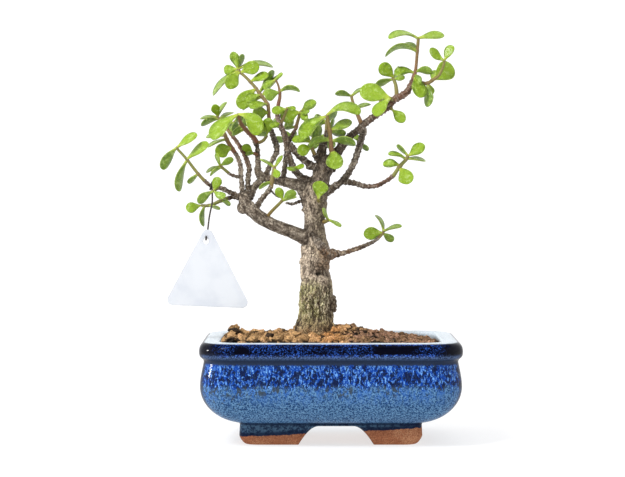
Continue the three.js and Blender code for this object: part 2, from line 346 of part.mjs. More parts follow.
// The tag's wire: hooked over the twig, down to the tag and through its hole. [x, z, y, diameter]
const WIRE = [[-70.9, 145.6, -22.6], [-70.5, 147.6, -23], [-69.9, 149.6, -22.2], [-69.5, 150.4, -20.7],
  [-69.6, 149.6, -19.1], [-69.8, 147.6, -18.3], [-69.6, 143, -18.5], [-69.7, 138, -19], [-70.3, 135, -19.2],
  [-71.3, 130, -19.4], [-72.2, 123, -19.5], [-72.9, 118.4, -19.5], [-73.2, 116.7, -20.1], [-73.3, 116.3, -21],
  [-73.3, 116.8, -21.9], [-73.2, 118.6, -22.3]];
const WIRE_SIDES = 6;

// Colours and finishes
const FINISH = {
  pot: { color: 0x2f5f9e, roughness: 0.25, metalness: 0 },
  soil: { color: 0x9c7448, roughness: 0.95, metalness: 0 },
  screen: { color: 0x202020, roughness: 0.6, metalness: 0 },
  wood: { color: 0x8a7763, roughness: 0.9, metalness: 0 },
  leaf: { color: 0x7fae2e, roughness: 0.4, metalness: 0 },
  tag: { color: 0xdde6ee, roughness: 0.35, metalness: 0 },
  wire: { color: 0x4a4238, roughness: 0.5, metalness: 0.6 },
};

// Where the point seen at x, z lies when its depth is y.
function seen(x, z, y) {
  const onPlane = new THREE.Vector3(x, 0, z);
  return EYE.clone().lerp(onPlane, (y - EYE.y) / -EYE.y);
}

// A closed shell through a stack of rings. A ring is a loop of points, all loops alike in number, and the
// last one may be a single tip.
function loft(rings) {
  const points = rings.flat();
  const starts = rings.map((ring, k) => rings.slice(0, k).flat().length);
  const count = rings[0].length;
  const triangles = [];
  for (let k = 0; k + 1 < rings.length; k += 1) {
    const tip = rings[k + 1].length === 1;
    for (let i = 0; i < count; i += 1) {
      const a = starts[k] + i;
      const b = starts[k] + ((i + 1) % count);
      const c = starts[k + 1] + (tip ? 0 : i);
      const d = starts[k + 1] + (tip ? 0 : (i + 1) % count);
      triangles.push([a, b, d]);
      if (!tip) {
        triangles.push([a, d, c]);
      }
    }
  }
  for (const k of [0, rings.length - 1]) {
    const ring = rings[k];
    if (ring.length > 1) {
      const middle = ring.reduce((sum, p) => sum.add(p), new THREE.Vector3()).divideScalar(ring.length);
      const centre = points.push(middle) - 1;
      for (let i = 0; i < count; i += 1) {
        const a = starts[k] + i;
        const b = starts[k] + ((i + 1) % count);
        triangles.push(k === 0 ? [centre, b, a] : [centre, a, b]);
      }
    }
  }
  const volume = triangles.reduce((sum, [a, b, c]) => {
    const normal = new THREE.Vector3().crossVectors(points[b], points[c]);
    return sum + points[a].dot(normal);
  }, 0);
  const index = volume > 0 ? triangles.flat() : triangles.map(([a, b, c]) => [a, c, b]).flat();
  const geometry = new THREE.BufferGeometry().setFromPoints(points);
  geometry.setIndex(index);
  return geometry;
}

function solidOf(geometry) {
  const bare = geometry.clone();
  bare.deleteAttribute('normal');
  bare.deleteAttribute('uv');
  const merged = mergeVertices(bare, 1e-4);
  return new wasm.Manifold(new wasm.Mesh({
    numProp: 3,
    vertProperties: new Float32Array(merged.attributes.position.array),
    triVerts: new Uint32Array(merged.index.array),
  }));
}

function geometryOf(solid) {
  const mesh = solid.asOriginal().simplify(SMALLEST_STEP).getMesh();
  const geometry = new THREE.BufferGeometry();
  geometry.setAttribute('position', new THREE.BufferAttribute(mesh.vertProperties, 3));
  geometry.setIndex(new THREE.BufferAttribute(mesh.triVerts, 1));
  const flat = geometry.toNonIndexed();
  flat.computeVertexNormals();
  return flat;
}

// A round section carried along rows of [x, z, y, diameter]. extra makes it fatter and longer all round,
// and ridge gives the swelling of the section at an angle and a height.
function tubeSolid(rows, sides, extra = 0, ridge = () => 1) {
  const centres = rows.map(([x, z, y]) => seen(x, z, y));
  const curve = new THREE.CatmullRomCurve3(centres, false, 'centripetal');
  const last = rows.length - 1;
  const across = new THREE.Vector3(0.31, -0.9, 0.2);
  const rings = rows.map((row, k) => {
    const along = curve.getTangent(k / last);
    across.addScaledVector(along, -across.dot(along)).normalize();
    const side = new THREE.Vector3().crossVectors(along, across);
    const reach = { 0: -extra, [last]: extra }[k] ?? 0;
    const centre = centres[k].clone().addScaledVector(along, reach);
    const radius = row[3] / 2 + extra / Math.cos(Math.PI / sides);
    return Array.from({ length: sides }, (_, i) => {
      const angle = (2 * Math.PI * i) / sides;
      const swell = radius * ridge(angle, centre.z);
      return centre.clone()
        .addScaledVector(across, swell * Math.cos(angle))
        .addScaledVector(side, swell * Math.sin(angle));
    });
  });
  return solidOf(loft(rings));
}

function ellipsoidSolid([x, z, y, halfWidth, halfHeight, halfDepth], extra = 0) {
  const ball = new THREE.IcosahedronGeometry(1.08, 0);
  ball.scale(halfWidth + extra, halfDepth + extra, halfHeight + extra);
  const centre = seen(x, z, y);
  ball.translate(centre.x, centre.y, centre.z);
  return solidOf(ball);
}

// The trunk is fluted a little, more so near its foot.
function trunkRidge(angle, height) {
  const depth = 0.025 + 0.03 * THREE.MathUtils.clamp((85 - height) / 25, 0, 1);
  return 1 + depth * Math.cos(3 * angle + height / 14) + 0.02 * Math.cos(5 * angle - height / 9);
}

// A surface root leaves the trunk at its foot and dives into the soil.
function rootSolid([turn, reach, thickness], extra) {
  const angle = THREE.MathUtils.degToRad(turn);
  const foot = [[3, 71, 0.8], [8.5, 66, 1], [reach - 1, 61.5, 0.9], [reach + 2, 56, 0.6], [reach + 3, 50, 0.35]];
  const rows = foot.map(([distance, z, share]) => (
    [-9.6 + distance * Math.cos(angle), z, distance * Math.sin(angle), thickness * share]
  ));
  return tubeSolid(rows, TWIG_SIDES, extra);
}

function woodSolid(extra) {
  const limbs = Object.entries(LIMBS).map(([name, rows]) => (
    tubeSolid(rows, LIMB_SIDES[name] ?? TWIG_SIDES, extra, name === 'trunk' ? trunkRidge : undefined)
  ));
  const roots = ROOTS.map((root) => rootSolid(root, extra));
  const knobs = KNOBS.map((knob) => ellipsoidSolid(knob, extra));
  return [...limbs, ...roots, ...knobs].reduce((whole, piece) => whole.add(piece));
}

// Half the width of a leaf, as a share of its greatest half width: a narrow stalk that swells to the
// widest station and closes in an ellipse at the tip.
function leafShare(t) {
  if (t < LEAF_WIDEST) {
    const swell = Math.sin((Math.PI / 2) * (t / LEAF_WIDEST) ** 0.9) ** 2;
    return PETIOLE_RATIO + (1 - PETIOLE_RATIO) * swell;
  }
  return Math.sqrt(Math.max(0, 1 - ((t - LEAF_WIDEST) / (1 - LEAF_WIDEST)) ** 2));
}

// The point of a stem that lies nearest to x, z as seen, with its depth, and the stem's direction there.
function stemPoint(stem, x, z) {
  let best = null;
  for (let k = 0; k + 1 < stem.length; k += 1) {
    const [x0, z0, y0] = stem[k];
    const [x1, z1, y1] = stem[k + 1];
    const along = ((x - x0) * (x1 - x0) + (z - z0) * (z1 - z0)) / ((x1 - x0) ** 2 + (z1 - z0) ** 2);
    const t = THREE.MathUtils.clamp(along, 0, 1);
    const place = [x0 + t * (x1 - x0), z0 + t * (z1 - z0), y0 + t * (y1 - y0)];
    const miss = Math.hypot(place[0] - x, place[1] - z);
    if (best === null || miss < best.miss) {
      const direction = seen(x1, z1, y1).sub(seen(x0, z0, y0)).normalize();
      best = { place, miss, direction };
    }
  }
  return best;
}

// A leaf runs from the middle of its stem to its tip, arched by bulge, and turned about its own length
// until its full width shows as the width seen. Its section is a flat lozenge with raised edges.
function leafSolid(stem, [baseX, baseZ, tipX, tipZ, depth, width, bulge, face]) {
  const root = stemPoint(stem, baseX, baseZ);
  const base = seen(...root.place);
  const tip = seen(tipX, tipZ, root.place[2] + depth);
  const chord = tip.clone().sub(base);
  const length = chord.length();
  const along = chord.clone().normalize();
  const viewer = EYE.clone().sub(base).normalize();
  viewer.addScaledVector(along, -viewer.dot(along)).normalize();
  const rise = new THREE.Vector3().crossVectors(along, viewer);
  const apex = root.direction.clone().add(new THREE.Vector3(0, 0, 0.3));
  if (rise.dot(apex) < 0) {
    rise.negate();
  }
  const fullWidth = Math.max(width, LEAF_WIDTH_RATIO * length);
  const turn = Math.acos(width / fullWidth);
  const upper = rise.clone().multiplyScalar(Math.sin(turn)).addScaledVector(viewer, face * Math.cos(turn));
  const stations = length < SMALL_LEAF ? SMALL_LEAF_STATIONS : LEAF_STATIONS;
  const rings = stations.map((t) => {
    const centre = base.clone().addScaledVector(chord, t).addScaledVector(rise, 4 * bulge * t * (1 - t));
    const tangent = chord.clone().addScaledVector(rise, 4 * bulge * (1 - 2 * t)).normalize();
    const normal = upper.clone().addScaledVector(tangent, -upper.dot(tangent)).normalize();
    const across = new THREE.Vector3().crossVectors(tangent, normal);
    const half = (fullWidth / 2) * leafShare(t);
    const thick = (LEAF_THICKNESS / 2) * (1 - 0.35 * t);
    return [
      centre.clone().addScaledVector(across, half).addScaledVector(normal, LEAF_CUP * half),
      centre.clone().addScaledVector(normal, thick),
      centre.clone().addScaledVector(across, -half).addScaledVector(normal, LEAF_CUP * half),
      centre.clone().addScaledVector(normal, -thick),
    ];
  });
  return solidOf(loft([...rings, [tip]]));
}

function shootSolid({ stem, leaves }, clearance) {
  const twig = tubeSolid(stem, STEM_SIDES);
  const spray = leaves.reduce((whole, leaf) => whole.add(leafSolid(stem, leaf)), twig);
  const pieces = spray.subtract(clearance).decompose();
  return pieces.reduce((largest, piece) => (piece.volume() > largest.volume() ? piece : largest));
}

// A rounded rectangle drawn anticlockwise round the origin.
function roundedRectangle(halfLength, halfWidth, radius) {
  const x = halfLength - radius;
  const y = halfWidth - radius;
  const path = new THREE.Path();
  path.absarc(x, y, radius, 0, Math.PI / 2);
  path.absarc(-x, y, radius, Math.PI / 2, Math.PI);
  path.absarc(-x, -y, radius, Math.PI, 1.5 * Math.PI);
  path.absarc(x, -y, radius, 1.5 * Math.PI, 2 * Math.PI);
  path.closePath();
  return path;
}

// The pot's outline at a half length: every outline is the same distance in from the widest one all round,
// and its corners tighten more slowly than that.
function potOutline(halfLength) {
  const inset = POT_LENGTH / 2 - halfLength;
  return roundedRectangle(halfLength, POT_WIDTH / 2 - inset, CORNER_RADIUS - CORNER_SHRINK * inset);
}

function potRing([halfLength, z]) {
  const corners = potOutline(halfLength).getPoints(CORNER_STEPS);
  const loop = corners.filter((p, i) => i === 0 || p.distanceTo(corners[i - 1]) > 1e-6);
  if (loop[0].distanceTo(loop[loop.length - 1]) < 1e-6) {
    loop.pop();
  }
  return loop.map((p) => new THREE.Vector3(p.x, p.y, z));
}

function potLoft(profile) {
  return solidOf(loft(profile.map(potRing)));
}

// The outside of the pot, from the feet up: foot ring, belly, groove and rolled rim.
function outsideProfile() {
  const half = POT_LENGTH / 2;
  const path = new THREE.Path();
  path.moveTo(FOOT_HALF_LENGTH - FOOT_CHAMFER, FOOT_BOTTOM);
  path.lineTo(FOOT_HALF_LENGTH, FOOT_BOTTOM + FOOT_CHAMFER + 1);
  path.lineTo(FOOT_HALF_LENGTH - 0.3, FOOT_HEIGHT);
  path.bezierCurveTo(FOOT_HALF_LENGTH + 13, 13.6, half + 0.2, 23, half + 0.1, 33.5);
  path.bezierCurveTo(half, 38, half - 1.3, 43, half - 1.8, 46.4);
  path.lineTo(half - 1.9, 48.2);
  path.bezierCurveTo(half + 1, 49.8, half + 0.7, 57.5, half - 3, POT_HEIGHT);
  return path.getPoints(4).map((p) => [p.x, p.y]);
}

// The inside of the pot, from its floor to above its mouth.
function insideProfile(extra = 0) {
  return [[52 - extra, FLOOR_Z + extra], [58 - extra, FLOOR_Z + 4 + extra], [65 - extra, 28], [66.5 - extra, 36],
    [66.5 - extra, 48], [64 - extra, 55], [MOUTH_HALF_LENGTH - extra, POT_HEIGHT + 12]];
}

function archSolid({ left, leftTop, rightTop, right, top }, turned) {
  const shape = new THREE.Shape();
  shape.moveTo(left, FOOT_BOTTOM - 2);
  shape.lineTo(left, FOOT_BOTTOM);
  shape.quadraticCurveTo(left + 0.5 * (leftTop - left), 0.85 * top, leftTop, top);
  shape.lineTo(rightTop, top);
  shape.quadraticCurveTo(right - 0.5 * (right - rightTop), 0.85 * top, right, FOOT_BOTTOM);
  shape.lineTo(right, FOOT_BOTTOM - 2);
  const bar = new THREE.ExtrudeGeometry(shape, { depth: 200, curveSegments: 3, bevelEnabled: false });
  bar.rotateX(Math.PI / 2);
  bar.translate(0, 100, 0);
  if (turned) {
    bar.rotateZ(Math.PI / 2);
  }
  return solidOf(bar);
}

function potSolid() {
  const recess = [[FOOT_HALF_LENGTH - FOOT_WALL - 1, FOOT_BOTTOM - 2], [FOOT_HALF_LENGTH - FOOT_WALL, UNDERSIDE_Z]];
  let pot = potLoft(outsideProfile()).subtract(potLoft(insideProfile())).subtract(potLoft(recess));
  for (const turned of [false, true]) {
    pot = pot.subtract(archSolid(turned ? SIDE_ARCH : FRONT_ARCH, turned));
  }
  for (const side of [-1, 1]) {
    const drill = new THREE.CylinderGeometry(DRAIN_RADIUS, DRAIN_RADIUS, 20, 20);
    drill.rotateX(Math.PI / 2);
    drill.translate(side * DRAIN_X, 0, FLOOR_Z - 4);
    pot = pot.subtract(solidOf(drill));
  }
  return pot;
}

// Height of the soil: a bed that sinks towards the right, a heap at the left end, a bank against the trunk's
// right side, and small waves for the granules. It dips towards the wall all round.
function soilHeight(x, y) {
  const limit = MOUTH_HALF_LENGTH - GAP;
  const toWall = Math.min(limit - Math.abs(x), limit - (POT_LENGTH - POT_WIDTH) / 2 - Math.abs(y));
  const heap = (offset, spread) => Math.exp(-((offset / spread) ** 2));
  const bed = 60.4 - 2.6 * THREE.MathUtils.smoothstep(x, 30, 56);
  const heaps = 2.4 * heap(x + 56, 6) + 6.4 * heap(x - 8, 15) * heap(y - 6, 24) + 1.2 * heap(x + 20, 12);
  const dip = SOIL_DIP * (1 - THREE.MathUtils.smoothstep(toWall, 0, 8));
  const grain = 0.45 * Math.sin(1.1 * x + 0.8 * y) + 0.4 * Math.sin(0.7 * x - 1.3 * y + 1);
  return bed + heaps * (1 - dip / SOIL_DIP) - dip + grain;
}

function soilSolid(clearance) {
  const rings = 9;
  const around = 32;
  const mouth = potOutline(MOUTH_HALF_LENGTH - GAP).getSpacedPoints(around).slice(0, around);
  const wall = insideProfile(GAP).slice(0, -1);
  const sides = wall.map(([halfLength, z]) => (
    potOutline(halfLength).getSpacedPoints(around).slice(0, around).map((p) => new THREE.Vector3(p.x, p.y, z))
  ));
  const top = Array.from({ length: rings }, (_, k) => {
    const share = 1 - k / rings;
    return mouth.map((p) => new THREE.Vector3(p.x * share, p.y * share, soilHeight(p.x * share, p.y * share)));
  });
  const middle = [new THREE.Vector3(0, 0, soilHeight(0, 0))];
  let soil = solidOf(loft([...sides, ...top, middle])).subtract(clearance);
  for (const side of [-1, 1]) {
    const reach = SCREEN_SIDE + 2 * GAP;
    const pocket = new THREE.BoxGeometry(reach, reach, 2 * (SCREEN_THICKNESS + 2 * GAP));
    pocket.translate(side * DRAIN_X, 0, FLOOR_Z);
    soil = soil.subtract(solidOf(pocket));
  }
  return soil;
}

// A square plastic mesh that lies over a drain hole: bars one way, joined with bars the other way.
function screenSolid() {
  const pitch = (SCREEN_SIDE - SCREEN_BAR) / SCREEN_CELLS;
  const bars = Array.from({ length: SCREEN_CELLS + 1 }, (_, k) => k * pitch - (SCREEN_SIDE - SCREEN_BAR) / 2);
  const pieces = bars.flatMap((offset) => {
    const long = new THREE.BoxGeometry(SCREEN_SIDE, SCREEN_BAR, SCREEN_THICKNESS);
    const cross = new THREE.BoxGeometry(SCREEN_BAR, SCREEN_SIDE, SCREEN_THICKNESS);
    return [solidOf(long.translate(0, offset, 0)), solidOf(cross.translate(offset, 0, 0))];
  });
  return pieces.reduce((sum, piece) => sum.add(piece));
}

// The tag is a triangle with round corners and one hole, facing the front.
function tagGeometry() {
  const corners = TAG_CORNERS.map(([x, z]) => {
    const place = seen(x, z, TAG_Y);
    return new THREE.Vector2(place.x, place.z);
  });
  const shape = new THREE.Shape();
  corners.forEach((corner, i) => {
    const before = corners[(i + 2) % 3].clone().sub(corner).normalize();
    const after = corners[(i + 1) % 3].clone().sub(corner).normalize();
    const opening = Math.acos(before.dot(after)) / 2;
    const inward = before.clone().add(after).normalize();
    const centre = corner.clone().addScaledVector(inward, TAG_CORNER_RADIUS / Math.sin(opening));
    const start = new THREE.Vector2(before.y, -before.x).angle();
    const end = new THREE.Vector2(-after.y, after.x).angle();
    shape.absarc(centre.x, centre.y, TAG_CORNER_RADIUS, start + Math.PI, end + Math.PI);
  });
  const [holeX, holeZ, holeRadius] = TAG_HOLE;
  const middle = seen(holeX, holeZ, TAG_Y);
  const hole = new THREE.Path();
  hole.absarc(middle.x, middle.z, holeRadius, 0, 2 * Math.PI, true);
  shape.holes.push(hole);
  const plate = new THREE.ExtrudeGeometry(shape, { depth: TAG_THICKNESS, curveSegments: 5, bevelEnabled: false });
  plate.rotateX(Math.PI / 2);
  plate.translate(0, TAG_Y + TAG_THICKNESS / 2, 0);
  return plate;
}

const bonsai = new THREE.Group();

function place(name, finish, geometry, x = 0, z = 0) {
  const mesh = new THREE.Mesh(geometry, new THREE.MeshStandardMaterial(FINISH[finish]));
  mesh.name = name;
  mesh.position.set(x, 0, z);
  bonsai.add(mesh);
}

const clearance = woodSolid(GAP);
place('pot', 'pot', geometryOf(potSolid()));
place('soil', 'soil', geometryOf(soilSolid(clearance)));
const screen = geometryOf(screenSolid());
const screenZ = FLOOR_Z + GAP + SCREEN_THICKNESS / 2;
place('drain_screen_left', 'screen', screen, -DRAIN_X, screenZ);
place('drain_screen_right', 'screen', screen, DRAIN_X, screenZ);
place('trunk', 'wood', geometryOf(woodSolid(0).subtract(ellipsoidSolid(HOLLOW))));
for (const [name, shoot] of Object.entries(SHOOTS)) {
  place(name, 'leaf', geometryOf(shootSolid(shoot, clearance)));
}
place('hang_tag', 'tag', tagGeometry());
place('tag_wire', 'wire', geometryOf(tubeSolid(WIRE.map((row) => [...row, WIRE_DIAMETER]), WIRE_SIDES)));

const box = new THREE.Box3().setFromObject(bonsai);
const middle = box.getCenter(new THREE.Vector3());
bonsai.position.set(-middle.x, -middle.y, -box.min.z);
bonsai.updateMatrixWorld(true);

export default bonsai;
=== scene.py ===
"""Builds the looks of a dwarf jade bonsai in a blue-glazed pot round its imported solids.

Lengths in the rows and formulas below are in millimetres, measured from the middle of the pot, with the front
towards -Y. place() carries them into the frame's own metres.
"""

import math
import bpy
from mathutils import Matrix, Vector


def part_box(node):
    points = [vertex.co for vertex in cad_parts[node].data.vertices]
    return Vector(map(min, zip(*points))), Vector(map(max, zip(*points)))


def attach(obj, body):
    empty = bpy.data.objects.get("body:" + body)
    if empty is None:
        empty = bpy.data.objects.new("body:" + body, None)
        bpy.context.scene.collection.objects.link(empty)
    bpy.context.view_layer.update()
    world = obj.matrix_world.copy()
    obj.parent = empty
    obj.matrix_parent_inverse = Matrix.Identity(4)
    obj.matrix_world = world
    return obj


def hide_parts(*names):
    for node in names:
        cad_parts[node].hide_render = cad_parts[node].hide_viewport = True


bl_info = {
    "name": "Potted Dwarf Jade Bonsai",
    "version": (1, 0, 0),
    "blender": (4, 5, 0),
    "location": "View3D > Sidebar > Bonsai",
    "description": "Builds the bonsai, its glazed pot, its soil, its hang tag and a plain studio",
    "category": "Add Mesh",
}

from types import SimpleNamespace

import bpy
import numpy as np
from bpy.props import FloatProperty, FloatVectorProperty, IntProperty, PointerProperty

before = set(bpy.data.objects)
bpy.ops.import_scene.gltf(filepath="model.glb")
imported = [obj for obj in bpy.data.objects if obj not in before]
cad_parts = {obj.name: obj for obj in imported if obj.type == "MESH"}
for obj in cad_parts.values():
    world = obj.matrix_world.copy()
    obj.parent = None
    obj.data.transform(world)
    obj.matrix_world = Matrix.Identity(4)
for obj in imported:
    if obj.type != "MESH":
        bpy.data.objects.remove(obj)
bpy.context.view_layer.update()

# Millimetres in a metre.
MM = 1000
POT_LOW, POT_HIGH = (np.array(corner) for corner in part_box("pot"))
FOOT_BOTTOM = -1.1
POT_MIDDLE = np.array([
    (POT_LOW[0] + POT_HIGH[0]) / 2, (POT_LOW[1] + POT_HIGH[1]) / 2, POT_LOW[2] - FOOT_BOTTOM / MM,
])

# Rows of the plant are written as seen from straight in front: x and z on the upright plane through the
# middle of the pot, then the real depth y. seen() carries them there along the line of sight of this eye
# point, where the camera stands, too, looking down by the pitch.
EYE = np.array([-10.6, -1250.0, 152.6])
PITCH = math.radians(1.63)
LENS = 122.3

# Limbs and woody twigs: how charred, how pale, and how red or green their young end is, then rows of x, z, y,
# diameter.
LIMBS = {
    "trunk": ([0.22, 0.5, 0], [[-9, 40, 0, 17], [-9.4, 52, 0, 21], [-9.9, 62, 0, 24], [-9.3, 66, 0, 21.4],
        [-9.1, 72, 0, 20], [-9.2, 79.5, 0, 20.8], [-8.6, 85, 0, 19.7], [-8.6, 91, 0, 18.6],
        [-9.2, 98, 0, 16.7], [-8.8, 105, 0, 16.8], [-8.8, 111, 0, 16.4], [-9.4, 119, 0, 14],
        [-9.6, 126, 0, 13], [-9, 133, 0, 14], [-9.2, 141, 0, 15.4], [-8, 147, 0, 14], [-5.6, 152, 0, 11.4],
        [-4.6, 158, 0, 10.6], [-3.4, 162, 0, 9]]),
    "front_ridge": ([0.2, 0.55, 0], [[-10.4, 119.6, -5.6, 3.2], [-8.2, 116, -7.4, 4.2], [-5, 112, -7.6, 4.8],
        [-1.6, 108.6, -5.6, 5.6], [1.6, 107.6, -1.5, 5]]),
    "leader": ([0.5, 0.2, 0.75], [[-4.2, 155, 0, 10], [-1.2, 161, 0, 8.6], [3.4, 167, 0, 6.4],
        [7, 172, -1, 5.2], [10.8, 176.6, -2, 4.2], [14, 179.3, -3, 4], [17, 181.4, -3.5, 4.2],
        [20.3, 184.6, -3, 4], [24.5, 188, -2, 4], [29.5, 191.2, 0, 3.7], [34.5, 194.8, 2, 3.7],
        [37.5, 198.6, 3, 4.1], [41, 200.5, 4, 4.2], [45, 203.3, 4, 4], [47.2, 207.6, 3, 3.3],
        [48.9, 211.6, 3, 2.8]]),
    "inner_spur": ([0.6, 0.1, 0], [[-5, 156, 0, 8], [-5.5, 162, 0, 6.6], [-5.2, 168, 1, 6],
        [-4.3, 172, 2, 4.8], [-3, 176.5, 3, 3], [-2.3, 180.5, 4, 2.3]]),
    "dark_spur": ([0.9, 0, 0], [[-6.5, 162, -1, 4], [-8.5, 165, -2, 3.6], [-9.5, 166.6, -2.5, 3.1]]),
    "dark_stub": ([0.9, 0, 0], [[-2.5, 158.5, -3, 4], [0.5, 157.9, -5, 3.4], [3, 157.5, -6, 3]]),
    "right_root": ([0.45, 0.2, 0], [[-7, 143, 0, 9], [-1, 145.3, 0, 5.2], [3, 148, -1, 4.6],
        [7.2, 151, -1, 4.2]]),
    "ringed_limb": ([0.35, 0.7, 0], [[5.5, 149.8, -1, 4.2], [9.5, 154, 0, 3.9], [11.7, 157.5, 1, 3.8],
        [13.7, 161.5, 2, 3.8], [15.3, 166, 3, 3.8], [16.7, 170.5, 3.5, 3.8], [17.8, 174.5, 4, 3.8],
        [18.9, 179, 4, 3.9], [19.2, 181.5, 4, 3.6]]),
    "right_arm": ([0.6, 0.2, 0.6], [[6.5, 150.2, -1, 3.7], [10.5, 150.2, -3, 3.4], [14.5, 149.5, -6, 3.2],
        [19, 148.1, -9, 3], [23, 147.6, -12, 2.8], [27, 148.1, -14, 2.7], [31, 150, -17, 2.5],
        [34.5, 152, -19, 2.6], [37.5, 154.6, -20, 2.6]]),
    "low_right": ([0.3, 0.45, 0.1], [[-7, 106.5, 0, 8], [0.2, 107.5, 1, 6.2], [3.4, 108, 2, 4.6],
        [6.5, 108.3, 4, 3.1], [10, 109.2, 6, 2.9], [14, 110.5, 8, 2.8], [18, 112, 10, 2.8],
        [22, 113.6, 12, 2.6], [25.5, 115.2, 14, 2.2], [28.5, 117.5, 15, 2]]),
    "low_left": ([0.25, 0.6, 0], [[-9, 114, 0, 11], [-16.5, 118.2, -2, 9.2], [-23, 121, -5, 8],
        [-30, 123.5, -7, 7.5], [-35, 125.6, -9, 7.5], [-40, 128.5, -11, 7.8], [-45, 132.5, -13, 8],
        [-49, 136.5, -14, 8], [-51.2, 140.6, -15, 7.2], [-52, 143, -15, 5.4]]),
    "tag_twig": ([0.55, 0.15, 0.3], [[-52, 141, -15, 4.6], [-56, 142.8, -16, 3.2], [-60, 144.6, -18, 2.8],
        [-63.5, 146.4, -19, 2.7], [-67.5, 147.2, -20, 2.5], [-71.5, 148.8, -21, 2.4],
        [-74.5, 151.4, -22, 2.2]]),
    "low_left_twig": ([0.75, 0.05, 0.2], [[-52, 140, -14, 4], [-56, 141.6, -13, 2.9],
        [-60.5, 140.7, -12, 2.5]]),
    "pale_twig": ([0.2, 0.65, 0.3], [[-51.8, 142, -15.5, 3.8], [-52.3, 150, -15, 3], [-52.8, 155, -13, 2.9],
        [-53, 160, -10, 2.8], [-54.5, 164.5, -7, 2.6], [-56.6, 168, -5, 2.6]]),
    "pale_side": ([0.5, 0.3, 0.4], [[-52.7, 153, -14, 2.4], [-56, 153.7, -16, 2.2], [-59, 154.8, -17.5, 2],
        [-61, 156.4, -18.5, 1.9]]),
    "dark_twig": ([0.6, 0.15, 1], [[-48.8, 140, -14, 4.4], [-48.6, 148, -12, 3.2], [-48.4, 154, -8, 3],
        [-47.8, 158.5, -5, 3], [-49, 162.3, -3, 2.9], [-51, 167, 0, 2.7], [-53.5, 171.5, 2, 2.5],
        [-56, 175.2, 4, 2.3], [-58, 177.6, 5, 2.1]]),
    "cross_twig": ([0.35, 0.45, 0], [[-47.5, 141, -14, 4.6], [-45.5, 146.5, -9, 4], [-42.5, 149.8, -2, 3.8],
        [-40, 153, 5, 3.6]]),
    "upper_left": ([0.28, 0.5, 0.2], [[-8, 145.5, 0, 10.5], [-12.5, 147.2, 1, 8], [-17, 148, 2, 8],
        [-22, 149.2, 3, 7.2], [-27, 150.4, 4, 6.1], [-32, 151.5, 5, 5.1], [-36, 152.2, 6, 5],
        [-40, 153.5, 6, 5.2], [-42.6, 156, 6, 4.4], [-42.6, 160, 6, 3.4], [-42.9, 165, 6, 3.2],
        [-43.1, 170, 5, 3.1], [-43.6, 174.4, 4, 3]]),
    "upper_buttress": ([0.4, 0.3, 0], [[-14.5, 137, 0, 5], [-16, 143, 1, 5.4], [-19.5, 148, 2, 5]]),
    "thin_twig": ([0.8, 0, 0], [[-15.5, 139.2, 0, 2.4], [-19, 138.6, -5, 2], [-22.5, 137.3, -9, 1.8],
        [-26, 138, -12, 1.6]]),
    "fork_twig": ([0.5, 0.3, 0], [[-43.5, 135, -13, 4], [-41, 139.7, -14, 3.2], [-38.5, 142.6, -15, 3.1],
        [-36.5, 145, -15, 3], [-35, 148, -15, 2.8]]),
    "bent_twig": ([0.8, 0, 0], [[-35.8, 146.2, -15, 2], [-34, 144.2, -15, 1.5], [-32, 142.3, -15, 1.4],
        [-29.8, 140.9, -15, 1.3]]),
    "low_spray_twig": ([0.5, 0.3, 0], [[-38, 128.6, -10, 3], [-36.9, 130.8, -11.5, 2.4]]),
    "arch_limb": ([0.75, 0.1, 0], [[-7, 150, -1, 5], [-12.6, 151.6, -2, 4], [-17, 153.2, -3, 4],
        [-20.5, 156.5, -3, 4], [-23, 161, -4, 4], [-25, 166.5, -4, 4]]),
    "olive_limb": ([0.8, 0.1, 0], [[-5, 157.6, -2, 5], [-9.5, 159.4, -3, 4.2], [-13, 161.4, -4, 4],
        [-16.5, 164, -5, 4], [-20, 167.5, -5, 4], [-24, 172.3, -4, 3.8]]),
    "ringed_spur": ([0.65, 0.4, 0.5], [[-28, 151, 4, 3.6], [-27.2, 157, 3, 3.2], [-26.2, 163, 0, 3.4],
        [-25.4, 168, -3, 3.9], [-25.6, 173, -4, 4], [-27.5, 179, -5, 3.6], [-29, 182.8, -5.5, 3.2],
        [-31, 188, -6, 2.8], [-31.5, 193, -7, 2.6]]),
    "middle_spur": ([0.6, 0.1, 0.6], [[-25, 173, -4, 3], [-22.4, 178, -1, 2.4], [-20.3, 182, 0, 2.2]]),
    "pale_spur": ([0.15, 0.8, 0], [[-38.2, 153.2, 6, 3.6], [-35.5, 160.5, 5, 3], [-33.3, 164.8, 4, 3],
        [-31.6, 168.5, 4, 3.4], [-31.8, 171.5, 4, 3.5], [-33.6, 176.5, 6, 3.3], [-35.2, 181.5, 8, 3],
        [-36.1, 186.5, 9.5, 2.6]]),
    "back_limb": ([0.4, 0.3, 0.4], [[-8, 131, 3, 7], [-7.5, 139, 12, 5.5], [-6.5, 147, 20, 5],
        [-5.5, 155, 27, 4.4], [-5, 162, 32, 4], [-4.5, 168, 36, 3.2]]),
    "back_left_twig": ([0.5, 0.2, 0.5], [[-5.6, 154, 26, 3.6], [-10, 159.5, 31, 3.1], [-15, 163, 34, 2.9],
        [-20, 167.3, 37, 2.6], [-23.5, 171.5, 39, 2.4]]),
    "back_far_twig": ([0.5, 0.2, 0.6], [[-43.2, 171, 4.5, 3], [-45.4, 176, 11, 2.6],
        [-49.4, 180.2, 19, 2.3]]),
}

# The spur whose upper end is charred, between these heights.
CHARRED_SPUR = "pale_spur"
CHARRED_FROM, CHARRED_TO = 168, 173

# Surface roots at the foot of the trunk: turn in degrees, reach, thickness.
TRUNK_X = -9.6
ROOTS = [[-168, 11.6, 6.4], [-118, 11, 6], [-62, 11, 6.6], [-8, 13, 7], [48, 12, 6.5], [115, 12, 7]]

